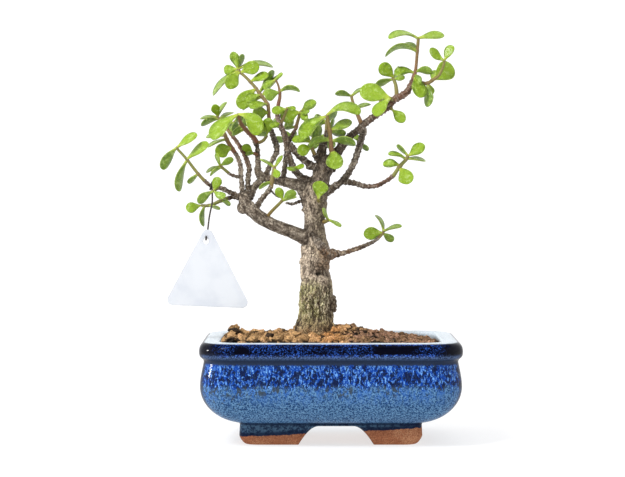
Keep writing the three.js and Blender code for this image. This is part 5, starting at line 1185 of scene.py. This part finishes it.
def ball_rings(row):
    """A squashed ball as circles of latitude."""
    centre, half = seen(row[:3]), np.array([row[3], row[5], row[4]])
    latitude = np.linspace(-BALL_LATITUDE, BALL_LATITUDE, 9)[:, None] * np.pi
    angle = circle(16)[None]
    ball = np.stack([
        np.cos(latitude) * np.cos(angle), np.cos(latitude) * np.sin(angle), np.sin(latitude) + 0 * angle,
    ], axis=-1)
    return centre + ball * half * BALL_GROWTH


def nearest_limbs(points, samples, starts):
    """For each point the tone blended over the limbs near it, weighted by how close their surfaces are, the
    nearest sample's radius, the point in that limb's own frame of two directions across it and the length
    along it, and how much further the second nearest limb's surface is than the nearest one's."""
    found, middle = [], samples[:, :3]
    for some in np.array_split(points, max(1, len(points) // 3000)):
        square = (some**2).sum(axis=1)[:, None] + (middle**2).sum(axis=1) - 2 * some @ middle.T
        gap = np.sqrt(np.maximum(square, 0)) - samples[:, 3]
        share = np.exp(-(gap - gap.min(axis=1, keepdims=True)) / 0.7)
        near = samples[gap.argmin(axis=1)]
        offset, along = some - near[:, :3], near[:, 5:8]
        side, up = sections(along)
        local = np.column_stack([(offset * way).sum(axis=1) for way in (side, up, along)])
        local[:, 2] += near[:, 4]
        limbs = np.sort(np.minimum.reduceat(gap, starts, axis=1), axis=1)
        tones = share @ samples[:, 8:11] / share.sum(axis=1, keepdims=True)
        found.append((tones, near[:, 3], local, limbs[:, 1] - limbs[:, 0]))
    return [np.concatenate(some) for some in zip(*found)]


def crest(noise):
    """1 where a noise passes its middle, falling away to 0 on both sides."""
    return np.clip(1 - np.abs(2 * noise - 1) * 2.2, 0, 1)


def weathered(mesh, samples, starts, relief):
    """Pushes the joined limbs' skin in and out along its normals: furrows along each limb, wrinkles round
    it, rings at the old leaf scars of the twigs, the hollow, and the fold above it with its ripples. Keeps
    what the bark's paint needs as numbers on the points."""
    count = len(mesh.vertices)
    points, normals = np.empty(count * 3, np.float32), np.empty(count * 3, np.float32)
    mesh.vertices.foreach_get("co", points)
    mesh.vertices.foreach_get("normal", normals)
    points = (points.reshape(-1, 3) - POT_MIDDLE) * MM
    normals = normals.reshape(-1, 3).astype(float)
    tones, radius, local, seam = nearest_limbs(points, samples, starts)
    length, z = local[:, 2], points[:, 2]
    trunk, twig = smoothstep(4.2, 7, radius), smoothstep(3.6, 2.3, radius)
    low = smoothstep(122, 104, z) * trunk
    swell = rough_noise(points * [1, 1, 0.6], 6.5, 2)
    coarse = rough_noise(local * [1, 1, 0.5], 3.2, 5)
    fine = rough_noise(local * [1, 1, 0.6], 1.0, 11)
    furrow = crest(rough_noise(local * [1, 1, 0.28], 1.7, 3))
    wrinkle = crest(rough_noise(local * [0.42, 0.42, 1.2], 2.2, 9))
    push = 1.6 * (coarse - 0.5) - furrow * (0.4 + 0.4 * low) - wrinkle * (0.4 - 0.3 * low)
    push = np.clip(0.085 * radius, 0.22, 0.75) * relief * (push + 0.7 * (fine - 0.5) + 0.2)
    push += 2.6 * (swell - 0.5) * trunk
    scar = np.cos(2 * np.pi * (length / 3.1 + 0.35 * np.sin(length / 4.3) + 0.5 * (coarse - 0.5)))
    push += 0.42 * smoothstep(0.5, 0.98, scar) * twig * np.clip(radius, 0.8, 1.8) / 1.8
    hollow = dome(points, seen(HOLLOW), HOLLOW_REACH).prod(axis=1)
    fold = dome(points, seen(FOLD), FOLD_REACH).prod(axis=1)
    ripple = np.cos(2 * np.pi * (z + 0.22 * points[:, 0] + 2.4 * (coarse - 0.5)) / 2.1)
    ripple = np.clip(ripple, 0, 1) * fold
    seam = dome(seam, 0, 0.55)
    push -= 1.8 * hollow + 0.3 * seam + 0.75 * ripple - 0.6 * fold
    moved = place(points + normals * push[:, None])
    mesh.vertices.foreach_set("co", moved.astype(np.float32).ravel())
    mesh.update()
    around = 0.45 - 0.35 * low
    crease = (1 - around) * furrow + around * wrinkle - 1.2 * (coarse - 0.5) - 0.8 * (fine - 0.5)
    numbers = {
        "char": tones[:, 0], "pale": tones[:, 1], "young": tones[:, 2], "scar": scar * twig, "seam": seam,
        "crease": np.maximum(np.clip(crease, 0, 1), ripple * 1.5), "thick": trunk, "fold": fold,
        "streak": 0.5 + 0.6 * (rough_noise(local * [1, 1, 0.3], 1.05, 21) - 0.5),
        "hollow": np.clip(hollow * 1.3, 0, 1),
    }
    for name, values in numbers.items():
        set_values(mesh, name, values)


def bark_paint(settings):
    """Bark that goes from a rusty, mossy foot to a silvery trunk, dark old twigs and reddish young ends, with
    light flecks and pale leaf scars. It is painted lighter on the trunk's left and darker to its right; its
    creases and the seams between limbs are darkened, partly as dark bark and partly as painted shade, and its
    hollow is filled with painted shade."""
    paint = Paint("bark", Roughness=0.85, Specular_IOR_Level=0.3)
    here = paint.here()
    x, _, z = paint.axes(here)
    char, pale, young, scar, crease = paint.numbers("char pale young scar crease")
    seam, streak, thick, hollow, fold = paint.numbers("seam streak thick hollow fold")
    wide = paint.noise(here, 0.13, 3, 0.6)
    patch = paint.noise(paint.stretch(here, 1, 1, 0.6), 0.42, 4, 0.65, 0.4)
    upright = paint.noise(paint.stretch(here, 1, 1, 0.36), 0.95, 3, 0.7, 0.7)
    grit = paint.noise(paint.stretch(here, 1, 1, 0.7), 1.7, 3, 0.72)
    crackle = paint.cracks(paint.stretch(here, 1, 1, 0.75), 0.62)
    blotch, rough = patch - 0.5, grit - 0.5
    vertical = thick * x.ramp(-18, -15)
    grain = (upright * vertical + streak * (1 - vertical)) * 0.5 + grit * 0.5
    light, dark = grain.ramp(0.51, 0.555), grain.ramp(0.475, 0.43)
    low = thick * (z + blotch * 22).ramp(95, 83)

    # Painted light mixed with the bark's tone: lighter on the trunk's left and darker to its right as the
    # light falls, and darker up the trunk, on the limbs and over the fold.
    tone_and_painted_light = thick * (z + blotch * 14).ramp(124, 112, 0.84, 1.08) + (1 - thick) * 0.5
    tone_and_painted_light = tone_and_painted_light * (x + blotch * 12).ramp(-12, -1, 1.06, 0.76) * (1 - fold * 0.45)
    silvery = (pale * 1.4 + blotch * 1.6 + (wide - 0.5)).ramp(0.0, 0.7)
    olive = (x + blotch * 10).ramp(-13, -6) * z.ramp(103, 109) * z.ramp(152, 138) * thick
    green = (patch * 0.5 + wide * 0.5 - x * 0.006).ramp(0.5, 0.6)
    green = z.ramp(64, 76) * (z + blotch * 20).ramp(97, 86) * green * thick
    cream = (grain + x * 0.003).ramp(0.49, 0.518) * low * z.ramp(66, 76)
    healed = z.ramp(97, 100) * z.ramp(114, 109) * (x + z * 0.45).ramp(38, 46) * patch.ramp(0.36, 0.55)
    burnt = (char * 1.25 + blotch * 1.6 - grit * 0.2).ramp(0.55, 1.05)
    lump_share = x.ramp(-2.5, 0.5) * z.ramp(71, 75) * z.ramp(87, 83)
    old_leaf = scar.ramp(0.55, 0.85) * (grit.ramp(0.4, 0.6) * 0.5 + 0.25) * (1 - young * 0.75)
    cracked = crackle.ramp(0.13, 0.02) * (grit + patch * 0.5).ramp(0.62, 0.87)
    cracked = cracked * (1 - young * 0.6) * (1 - low * 0.55)
    colour = paint.coats(
        paint.shade(paint.mix(settings.brown, settings.silver, silvery), tone_and_painted_light),
        (paint.shade(BARK.pale, tone_and_painted_light + 0.14), light * (pale * 0.55 + 0.12)),
        (BARK.olive, olive * (grit * 0.6 + upright * 0.4).ramp(0.46, 0.54) * 0.55),
        (paint.mix(BARK.fold, BARK.fold_light, grain.ramp(0.47, 0.53)), fold * 0.8),
        (paint.mix(BARK.foot, BARK.foot_light, grain.ramp(0.472, 0.515)), low * (wide * 0.6 + 0.6)),
        (paint.mix(BARK.old_moss, settings.moss, upright.ramp(0.43, 0.55)), green * 0.75),
        (BARK.cream, cream * (patch.ramp(0.36, 0.56) * 0.6 + 0.4) * 0.97),
        (settings.rust, thick * z.ramp(67, 62) * patch.ramp(0.35, 0.6) * 0.5),
        (paint.mix(settings.rust, BARK.healed, grain.ramp(0.48, 0.55)), healed * 0.7),
        (settings.charred, burnt * 0.75),
        (BARK.lump, lump_share * 0.75),
        (settings.young, young * (patch * 0.8 + 0.35)),
        (BARK.scar, old_leaf),
        (BARK.fleck, light * (1 - thick) * (1 - char * 0.6) * 0.48),
        (BARK.furrow, dark * (low * 0.27 + 0.71)),
        (BARK.crack, cracked * 0.74),
        (BARK.ring, scar.ramp(0.1, 0.3) * scar.ramp(0.6, 0.4) * 0.6),
        # The creases and the seams where limbs meet are darkened partly as dark bark and partly as painted
        # shade; the hollow is filled with painted shade.
        (BARK.crease, (crease + rough * 0.8).ramp(0.5, 0.9) * 0.7),
        (BARK.seam, (seam + rough * 1.2).ramp(0.35, 1.0) * 0.45),
        (BARK.hollow, (hollow + rough * 0.9).ramp(0.35, 0.95) * 0.92),
    )
    paint.feed(Base_Color=colour)
    paint.bump(grain * 1.2 + patch * 0.4 - cracked * 0.5, 0.0014)
    return paint.material


def past_widest(t):
    """How far a station lies past the widest one, as a share of what is left to the tip."""
    return (t - LEAF_WIDEST) / (1 - LEAF_WIDEST)


def leaf_share(t):
    """Half the width of a leaf as a share of its greatest: a stalk that swells as a sine squared to the
    widest station and closes in an ellipse at the tip."""
    swell = np.sin(np.pi / 2 * np.clip(t / LEAF_WIDEST, 0, 1)**0.9)**2
    tip = np.sqrt(np.maximum(0, 1 - past_widest(t)**2))
    return np.where(t < LEAF_WIDEST, PETIOLE_RATIO + (1 - PETIOLE_RATIO) * swell, tip)


def stem_point(stem, x, z):
    """The point of a stem that lies nearest to x, z as seen, as x, z, y, and the stem's direction there."""
    stem = np.asarray(stem, float)[:, :3]
    run = np.diff(stem, axis=0)
    share = ((x - stem[:-1, 0]) * run[:, 0] + (z - stem[:-1, 1]) * run[:, 1]) / (run[:, :2]**2).sum(axis=1)
    spots = stem[:-1] + np.clip(share, 0, 1)[:, None] * run
    k = np.hypot(spots[:, 0] - x, spots[:, 1] - z).argmin()
    return spots[k], unit(seen(stem[k + 1]) - seen(stem[k]))


def leaf_rings(stem, row, thickness, around=16):
    """Sections of a leaf along its chord, which is arched by its bulge and turned about its own length until
    its full width shows as the width seen. A section is a flat oval, half * cos across and thick * sin up,
    with its two edges raised by half * cos squared times the cup. With them come the numbers of its
    points."""
    x, z, tip_x, tip_z, depth, width, bulge, face = row
    root, direction = stem_point(stem, x, z)
    base, tip = seen(root), seen([tip_x, tip_z, root[2] + depth])
    chord = tip - base
    length = np.linalg.norm(chord)
    along = chord / length
    viewer = unit(EYE - base)
    viewer = unit(viewer - viewer @ along * along)
    rise = np.cross(along, viewer)
    rise = rise * np.sign(rise @ (direction + [0, 0, 0.3]))
    full = max(width, LEAF_WIDTH_RATIO * length)
    turn = math.acos(width / full)
    upper = rise * math.sin(turn) + viewer * face * math.cos(turn)

    rounding = np.sin(np.linspace(0, np.pi / 2, 8)[1:])
    t = np.concatenate([np.linspace(0, LEAF_WIDEST, 9), LEAF_WIDEST + (1 - LEAF_WIDEST) * rounding * 0.999])
    centre = base + chord * t[:, None] + rise * (4 * bulge * t * (1 - t))[:, None]
    tangent = unit(chord + rise * (4 * bulge * (1 - 2 * t))[:, None])
    normal = unit(upper - (tangent @ upper)[:, None] * tangent)
    across = np.cross(tangent, normal)
    half = full / 2 * leaf_share(t) * (LEAF_FULLNESS + LEAF_WAVE * np.sin(9 * t + 5 * tip_x))
    thick = thickness / 2 * (1 - 0.3 * t) * (1 - np.clip(past_widest(t), 0, 1)**5 * 0.8)
    sideways, upwards = np.cos(circle(around)), np.sin(circle(around))
    upwards = np.sign(upwards) * np.abs(upwards)**0.85
    wide = half[:, None] * sideways
    high = thick[:, None] * upwards + LEAF_CUP * half[:, None] * sideways**2
    rings = centre[:, None] + across[:, None] * wide[..., None] + normal[:, None] * high[..., None]
    values = {"edge": np.abs(sideways), "side": sideways, "face": (upwards > -0.05).astype(float)}
    values = {key: np.tile(value, len(t)) for key, value in values.items()}
    return rings, {"along": np.repeat(t, around), **values}


def leaf_paint(settings):
    """Fleshy leaves: deep to light green from leaf to leaf, the tone carrying painted light, yellow at the
    stalk, paler underneath, darker towards the edges as painted shade, with a fine warm edge, a faint midrib
    and a pale mottle that is partly a painted sheen."""
    paint = Paint("fleshy_leaf", Specular_IOR_Level=0.22, Coat_Weight=0.12, Coat_Roughness=0.08,
                  Subsurface_Weight=0.12, Subsurface_Scale=0.0015, Subsurface_Radius=(0.9, 1.0, 0.25))
    here = paint.here()
    tone, along, edge, side, face = paint.numbers("tone along edge side face")
    mottle = paint.noise(here, 0.38, 4, 0.62)
    fine = paint.noise(here, 1.5, 3, 0.65)
    shade = tone * 0.85 + (mottle - 0.5) * 1.75 + (fine - 0.5) * 0.7 + along * 0.14
    # Painted shade: each leaf darkens towards its rounded edges.
    shade = shade - edge.ramp(0.35, 0.95) * 0.42 + 0.07
    midrib = side.maths("ABSOLUTE").ramp(0.1, 0.0) * along.ramp(0.9, 0.3)
    colour = paint.coats(
        settings.deep,
        (settings.lime, shade.ramp(0.0, 0.95)),
        (settings.yellow, midrib * 0.22),
        (settings.yellow, along.ramp(0.32, 0.02) * 0.75),
        (LEAF_UNDER, (1 - face) * 0.3),
        # Pale speckle, partly a painted sheen.
        (LEAF_SPECKLE_AND_SHEEN, (fine * 0.3 + mottle * 0.7).ramp(0.53, 0.62) * 0.42),
        (LEAF_RIM, edge.ramp(0.9, 0.99) * 0.42),
    )
    paint.feed(Base_Color=colour, Roughness=fine * 0.24 + 0.18)
    paint.bump(mottle * 1.2 + fine * 0.3, 0.0011)
    return paint.material


def stem_paint(settings):
    """Soft stems, green towards their ends and rust towards the wood, with fine lengthwise streaks."""
    paint = Paint("soft_stem", Roughness=0.5)
    red, along, node = paint.numbers("red along node")
    streak = paint.noise(paint.here(), 1.6, 3, 0.6)
    colour = paint.coats(
        settings.green_stem,
        (settings.red_stem, (red * 1.3 - along * 0.35 + (streak - 0.5) * 0.7).ramp(0.05, 0.85)),
        (STEM_STREAK, streak.ramp(0.53, 0.66) * 0.38),
        (STEM_NODE, node * 0.5),
    )
    paint.feed(Base_Color=colour)
    paint.bump(streak, 0.0004)
    return paint.material


def shoot_parts(shoot, thickness, random, around=10):
    """One leafy shoot: its stem as a tube with a swelling at each leaf, and its leaves, each with a tone of
    its own that painted light makes lighter to the front, in the upper right and where a leaf shows its full
    width."""
    parts = Parts()
    red, stem, leaves = shoot
    path, length = smooth_limb(stem, 0.7)
    roots = [stem_point(stem, leaf[0], leaf[1])[0] for leaf in leaves]
    node = dome(np.linalg.norm(path[:, None, :3] - seen(roots), axis=-1).min(axis=1), 0, 0.7)
    radii = path[:, 3] * (1 + 0.22 * node)
    radii[-1] *= 0.55
    along = np.append(np.repeat(length / length[-1], around), [0, 1])
    node = np.append(np.repeat(node, around), [0, 0])
    parts.add(*shell(tube_rings(path[:, :3], radii, around)), 1, along=along, node=node, red=red, tone=0.5,
              edge=0, side=1, face=1)
    mood = random.uniform(-0.12, 0.12)
    ends = {"along": [0, 1], "edge": [0, 0], "side": [0, 0], "face": [1, 1]}
    for leaf, root in zip(leaves, roots):
        rings, values = leaf_rings(stem, leaf, thickness)
        values = {key: np.append(value, ends[key]) for key, value in values.items()}
        x, z, tip_x, tip_z, depth, width, _, face = leaf
        # Painted light in the tone: lighter towards the front of the crown, in its upper right and where the
        # full width shows; lower where the lower face shows. mood and the random number are the leaf's own.
        near = np.clip(-(root[2] + depth / 2) / 120, -0.1, 0.12)
        sunny = 0.14 * smoothstep(0, 30, x) * smoothstep(165, 190, z)
        reach = math.hypot(tip_x - x, tip_z - z, depth)
        full_width_painted_light = 0.3 * smoothstep(0.8, 1, width / (LEAF_WIDTH_RATIO * reach))
        tone = np.clip(0.62 + 0.1 * face + full_width_painted_light + mood + near + sunny + random.normal(0, 0.12), 0.34, 1.15)
        parts.add(*shell(rings), 0, node=0, red=0, tone=tone, **values)
    return parts


def tag_rings(settings):
    """The plate is a triangle with round corners. Its skin is carried round its hole: at each direction from
    the hole's middle it runs from the outline's back edge over the outline to the front, over the hole's
    edge, and back."""
    half = settings.thickness * MM / 2
    corners = seen([[x, z, TAG_Y] for x, z in TAG_CORNERS])[:, [0, 2]]
    loop = []
    for k in range(3):
        before, after = unit(corners[k - 1] - corners[k]), unit(corners[(k + 1) % 3] - corners[k])
        opening = math.acos(before @ after) / 2
        centre = corners[k] + unit(before + after) * TAG_CORNER_RADIUS / math.sin(opening)
        start = math.atan2(*(corners[k] + before * TAG_CORNER_RADIUS / math.tan(opening) - centre)[::-1])
        sweep = start + np.linspace(0, np.pi - 2 * opening, 14)
        loop.append(centre + TAG_CORNER_RADIUS * np.stack([np.cos(sweep), np.sin(sweep)], axis=-1))
    sides = [np.linspace(loop[k][-1], loop[(k + 1) % 3][0], 26)[1:-1] for k in range(3)]
    outline = np.concatenate([piece for pair in zip(loop, sides) for piece in pair])
    hole = seen([TAG_HOLE[0], TAG_HOLE[1], TAG_Y])[[0, 2]]
    outward = unit(outline - hole)
    bore = hole + outward * TAG_HOLE[2]
    rounding = half * 0.45
    inner = half - rounding
    rings = []
    for edge, offset, y in (
        (outline, -rounding, -half), (outline, 0, -inner), (outline, 0, inner), (outline, -rounding, half),
        (bore, rounding, half), (bore, 0, inner), (bore, 0, -inner), (bore, rounding, -half),
    ):
        flat = edge + outward * offset
        rings.append(np.column_stack([flat[:, 0], np.full(len(flat), TAG_Y + y), flat[:, 1]]))
    return np.array(rings)


def tag_paint(settings):
    """Frosted pale plastic, a little cloudy and scuffed."""
    paint = Paint("bare_tag_plastic", Coat_IOR=1.45)
    here = paint.here()
    cloud = paint.noise(here, 0.07, 3)
    scuff = paint.noise(paint.stretch(here, 0.3, 1, 2.0), 0.5, 4, 0.7)
    colour = paint.coats(
        settings.plate, (TAG_CLOUD, cloud.ramp(0.35, 0.65)), (TAG_SCUFF, scuff.ramp(0.62, 0.75) * 0.3),
    )
    paint.feed(Base_Color=colour, Roughness=scuff * 0.25 + 0.25)
    paint.bump(paint.noise(here, 2.2, 2), 0.00006)
    return paint.material


def wire_paint(settings):
    """A dark coating, worn lighter in places."""
    paint = Paint("coated_wire", Metallic=0.25)
    wear = paint.noise(paint.here(), 1.2, 3, 0.6)
    colour = paint.mix(settings.wire, WORN_WIRE, wear.ramp(0.55, 0.75))
    paint.feed(Base_Color=colour, Roughness=wear * 0.3 + 0.3)
    paint.bump(wear, 0.0001)
    return paint.material


def screen_paint():
    """Black plastic with soil dust on it."""
    paint = Paint("drain_screen_plastic")
    dust = paint.noise(paint.here(), 0.8, 4, 0.6)
    paint.feed(Base_Color=paint.mix(SCREEN, SCREEN_DUST, dust.ramp(0.5, 0.75)), Roughness=dust * 0.3 + 0.4)
    paint.bump(dust, 0.0002)
    return paint.material


# The point that all lights face, in metres.
LIGHTS_AIM = np.array([0, 0, 0.11])


def bowl(radius, cove=0.9, height=3.6, around=96):
    """The studio: a flat disc, a quarter circle of the cove's radius, and an upright wall, turned about Z."""
    turn = np.linspace(0, np.pi / 2, 16)
    distance = np.concatenate([[0.02, 0.3, radius * 0.5], radius + cove * np.sin(turn), [radius + cove]])
    level = np.concatenate([[0, 0, 0], cove * (1 - np.cos(turn)), [height]])
    flat = distance[:, None, None] * np.stack([np.cos(circle(around)), np.sin(circle(around))], axis=-1)
    quads = ring_quads(len(distance), around)[:, ::-1]
    return raised(flat, level[:, None]).reshape(-1, 3), [*quads.tolist(), list(range(around))]


class BONSAI_OT_pot(bpy.types.Operator):
    """Build the glazed pot with its arched foot ring and drain holes"""
    bl_idname = "bonsai.pot"
    bl_label = "Build Pot"

    def execute(self, context):
        rings, values = pot_rings()
        parts = Parts()
        parts.add(*shell(rings), **values)
        piece = show("glazed_pot", parts.mesh("glazed_pot"))
        for middle in (-DRAIN_X, DRAIN_X):
            drilled(piece, middle, DRAIN_RADIUS, UNDERSIDE_Z - 4, FLOOR_Z + 4)
        piece.data.materials.append(glaze_paint(context.scene.bonsai_pot))
        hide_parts("pot")
        return {"FINISHED"}


class BONSAI_OT_screens(bpy.types.Operator):
    """Paint the two plastic screens over the drain holes"""
    bl_idname = "bonsai.screens"
    bl_label = "Paint Drain Screens"

    def execute(self, context):
        material = screen_paint()
        for name in ("drain_screen_left", "drain_screen_right"):
            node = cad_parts[name]
            node.data.materials.clear()
            node.data.materials.append(material)
        return {"FINISHED"}


class BONSAI_OT_soil(bpy.types.Operator):
    """Fill the pot and cover the fill with granules"""
    bl_idname = "bonsai.soil"
    bl_label = "Build Soil"

    def execute(self, context):
        settings = context.scene.bonsai_soil
        material = soil_paint(settings)
        parts = Parts()
        # The fill's numbers give it the full painted shade of the gaps between the granules.
        parts.add(*shell(soil_bed()), tone=0.3, warm=0, red=0.5, up=-3, under=1)
        bed = show("soil_fill", parts.mesh("soil_fill"), material)
        parts = Parts()
        points, quads, values = granules(settings)
        parts.add(points, quads, [], **values)
        grains = show("soil_granules", parts.mesh("soil_granules", smooth=False), material)
        for piece in (bed, grains):
            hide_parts("soil")
        return {"FINISHED"}


class BONSAI_OT_wood(bpy.types.Operator):
    """Grow the trunk, its roots and its limbs as one skin of bark"""
    bl_idname = "bonsai.wood"
    bl_label = "Build Wood"

    def execute(self, context):
        settings = context.scene.bonsai_wood
        samples = limb_samples()
        parts = Parts()
        for name, rows in samples.items():
            around = 32 if name == "trunk" else 14
            radii = rows[:, 3:4] * np.ones(around)
            if name == "trunk":
                radii = radii * trunk_ridge(circle(around)[None], rows[:, 2:3])
            parts.add(*shell(tube_rings(rows[:, :3], radii, around)))
        for rings in (*(root_rings(*root) for root in ROOTS), *map(ball_rings, KNOBS)):
            parts.add(*shell(rings))
        piece = show("bark_and_limbs", parts.mesh("bark_and_limbs"))
        skin = piece.modifiers.new("skin", "REMESH")
        skin.mode, skin.voxel_size, skin.use_smooth_shade = "VOXEL", settings.grain, True
        soften = piece.modifiers.new("soften", "SMOOTH")
        soften.factor, soften.iterations = 0.5, 3
        mesh = settled(piece)
        starts = np.cumsum([0, *map(len, samples.values())])[:-1]
        weathered(mesh, np.concatenate(list(samples.values())), starts, settings.relief)
        mesh.polygons.foreach_set("use_smooth", np.ones(len(mesh.polygons), bool))
        mesh.materials.clear()
        mesh.materials.append(bark_paint(settings))
        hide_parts("trunk")
        return {"FINISHED"}


class BONSAI_OT_shoots(bpy.types.Operator):
    """Grow the leafy shoots, one piece each"""
    bl_idname = "bonsai.shoots"
    bl_label = "Build Shoots"

    def execute(self, context):
        settings = context.scene.bonsai_leaf
        random = np.random.default_rng(SHOOT_SEED)
        leaf, stem = leaf_paint(settings), stem_paint(settings)
        for name, shoot in SHOOTS.items():
            parts = shoot_parts(shoot, settings.thickness * MM, random)
            piece = show("leafy_" + name, parts.mesh("leafy_" + name), leaf, stem)
            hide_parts(name)
        return {"FINISHED"}


class BONSAI_OT_tag(bpy.types.Operator):
    """Build the bare hang tag and the wire that carries it"""
    bl_idname = "bonsai.tag"
    bl_label = "Build Tag"

    def execute(self, context):
        settings = context.scene.bonsai_tag
        parts = Parts()
        parts.add(*ring_shell(tag_rings(settings)))
        plate = show("bare_hang_tag", parts.mesh("bare_hang_tag", smooth=False), tag_paint(settings))
        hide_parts("hang_tag")
        path, _ = smooth_rows(seen(WIRE), 0.4)
        parts = Parts()
        parts.add(*shell(tube_rings(path, np.full(len(path), settings.wire_diameter * MM / 2), 12)))
        wire = show("wire_loop", parts.mesh("wire_loop"), wire_paint(settings))
        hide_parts("tag_wire")
        return {"FINISHED"}


class BONSAI_OT_stage(bpy.types.Operator):
    """Set up the pale floor, the soft lights and the camera"""
    bl_idname = "bonsai.stage"
    bl_label = "Build Stage"

    def execute(self, context):
        settings = context.scene.bonsai_stage
        scene = context.scene
        mesh = bpy.data.meshes.new("studio_floor")
        points, faces = bowl(settings.radius)
        mesh.from_pydata(points.tolist(), [], faces)
        mesh.polygons.foreach_set("use_smooth", np.ones(len(mesh.polygons), bool))
        floor = bpy.data.objects.new("studio_floor", mesh)
        scene.collection.objects.link(floor)
        paint = Paint("studio_white", Roughness=0.9, Specular_IOR_Level=0.1,
                      Emission_Color=(1, 1, 1, 1), Emission_Strength=settings.glow)
        x, y, _ = paint.axes(paint.here())
        paint.feed(Base_Color=paint.mix(settings.floor, settings.wall, (x * x + y * y).ramp(2e5, 3e6)))
        mesh.materials.append(paint.material)

        world = bpy.data.worlds.new("even_light")
        world.use_nodes = True
        background = world.node_tree.nodes["Background"]
        background.inputs["Color"].default_value = (1, 1, 1, 1)
        background.inputs["Strength"].default_value = settings.sky
        scene.world = world
        for name, spot, size, power in (
            ("key_light", (-0.8, -0.9, 1.3), (0.45, 0.45), settings.key),
            ("top_light", (0.1, 0.1, 1.9), (1.8, 1.8), settings.key * 0.7),
            ("side_light", (-1.2, 0.06, 0.3), (0.18, 0.11), settings.key * 0.17),
        ):
            light = bpy.data.lights.new(name, "AREA")
            light.shape, light.energy = "RECTANGLE", power
            light.size, light.size_y = size
            lamp = bpy.data.objects.new(name, light)
            lamp.location = spot
            aim = LIGHTS_AIM - np.array(spot)
            down = math.atan2(math.hypot(aim[0], aim[1]), -aim[2])
            lamp.rotation_euler = (down, 0, math.atan2(-aim[0], aim[1]))
            scene.collection.objects.link(lamp)

        lens = bpy.data.cameras.new("front_view")
        lens.sensor_fit, lens.sensor_width, lens.lens = "HORIZONTAL", 36, LENS
        lens.clip_start, lens.clip_end = 0.05, 50
        camera = bpy.data.objects.new("front_view", lens)
        camera.location = place(EYE)
        camera.rotation_euler = (math.pi / 2 - PITCH, 0, 0)
        scene.collection.objects.link(camera)
        scene.camera = camera
        scene.view_settings.view_transform = "Standard"
        return {"FINISHED"}


OPERATORS = (
    BONSAI_OT_pot, BONSAI_OT_screens, BONSAI_OT_soil, BONSAI_OT_wood, BONSAI_OT_shoots, BONSAI_OT_tag,
    BONSAI_OT_stage,
)
SETTINGS = {
    "bonsai_pot": PotSettings, "bonsai_soil": SoilSettings, "bonsai_wood": WoodSettings,
    "bonsai_leaf": LeafSettings, "bonsai_tag": TagSettings, "bonsai_stage": StageSettings,
}


class VIEW3D_PT_bonsai(bpy.types.Panel):
    """Sizes, colours and build steps of the potted bonsai"""
    bl_label = "Bonsai"
    bl_space_type = "VIEW_3D"
    bl_region_type = "UI"
    bl_category = "Bonsai"

    def draw(self, context):
        for name, group in SETTINGS.items():
            box = self.layout.box()
            for key in group.__annotations__:
                box.prop(getattr(context.scene, name), key)
        for operator in OPERATORS:
            self.layout.operator(operator.bl_idname)


def register():
    for one in (*SETTINGS.values(), *OPERATORS, VIEW3D_PT_bonsai):
        bpy.utils.register_class(one)
    for name, group in SETTINGS.items():
        setattr(bpy.types.Scene, name, PointerProperty(type=group))


def unregister():
    for name in SETTINGS:
        delattr(bpy.types.Scene, name)
    for one in (VIEW3D_PT_bonsai, *OPERATORS, *SETTINGS.values()):
        bpy.utils.unregister_class(one)


def main():
    register()
    bpy.ops.bonsai.pot()
    bpy.ops.bonsai.screens()
    bpy.ops.bonsai.soil()
    bpy.ops.bonsai.wood()
    bpy.ops.bonsai.shoots()
    bpy.ops.bonsai.tag()
    bpy.ops.bonsai.stage()


if __name__ == "__main__":
    main()
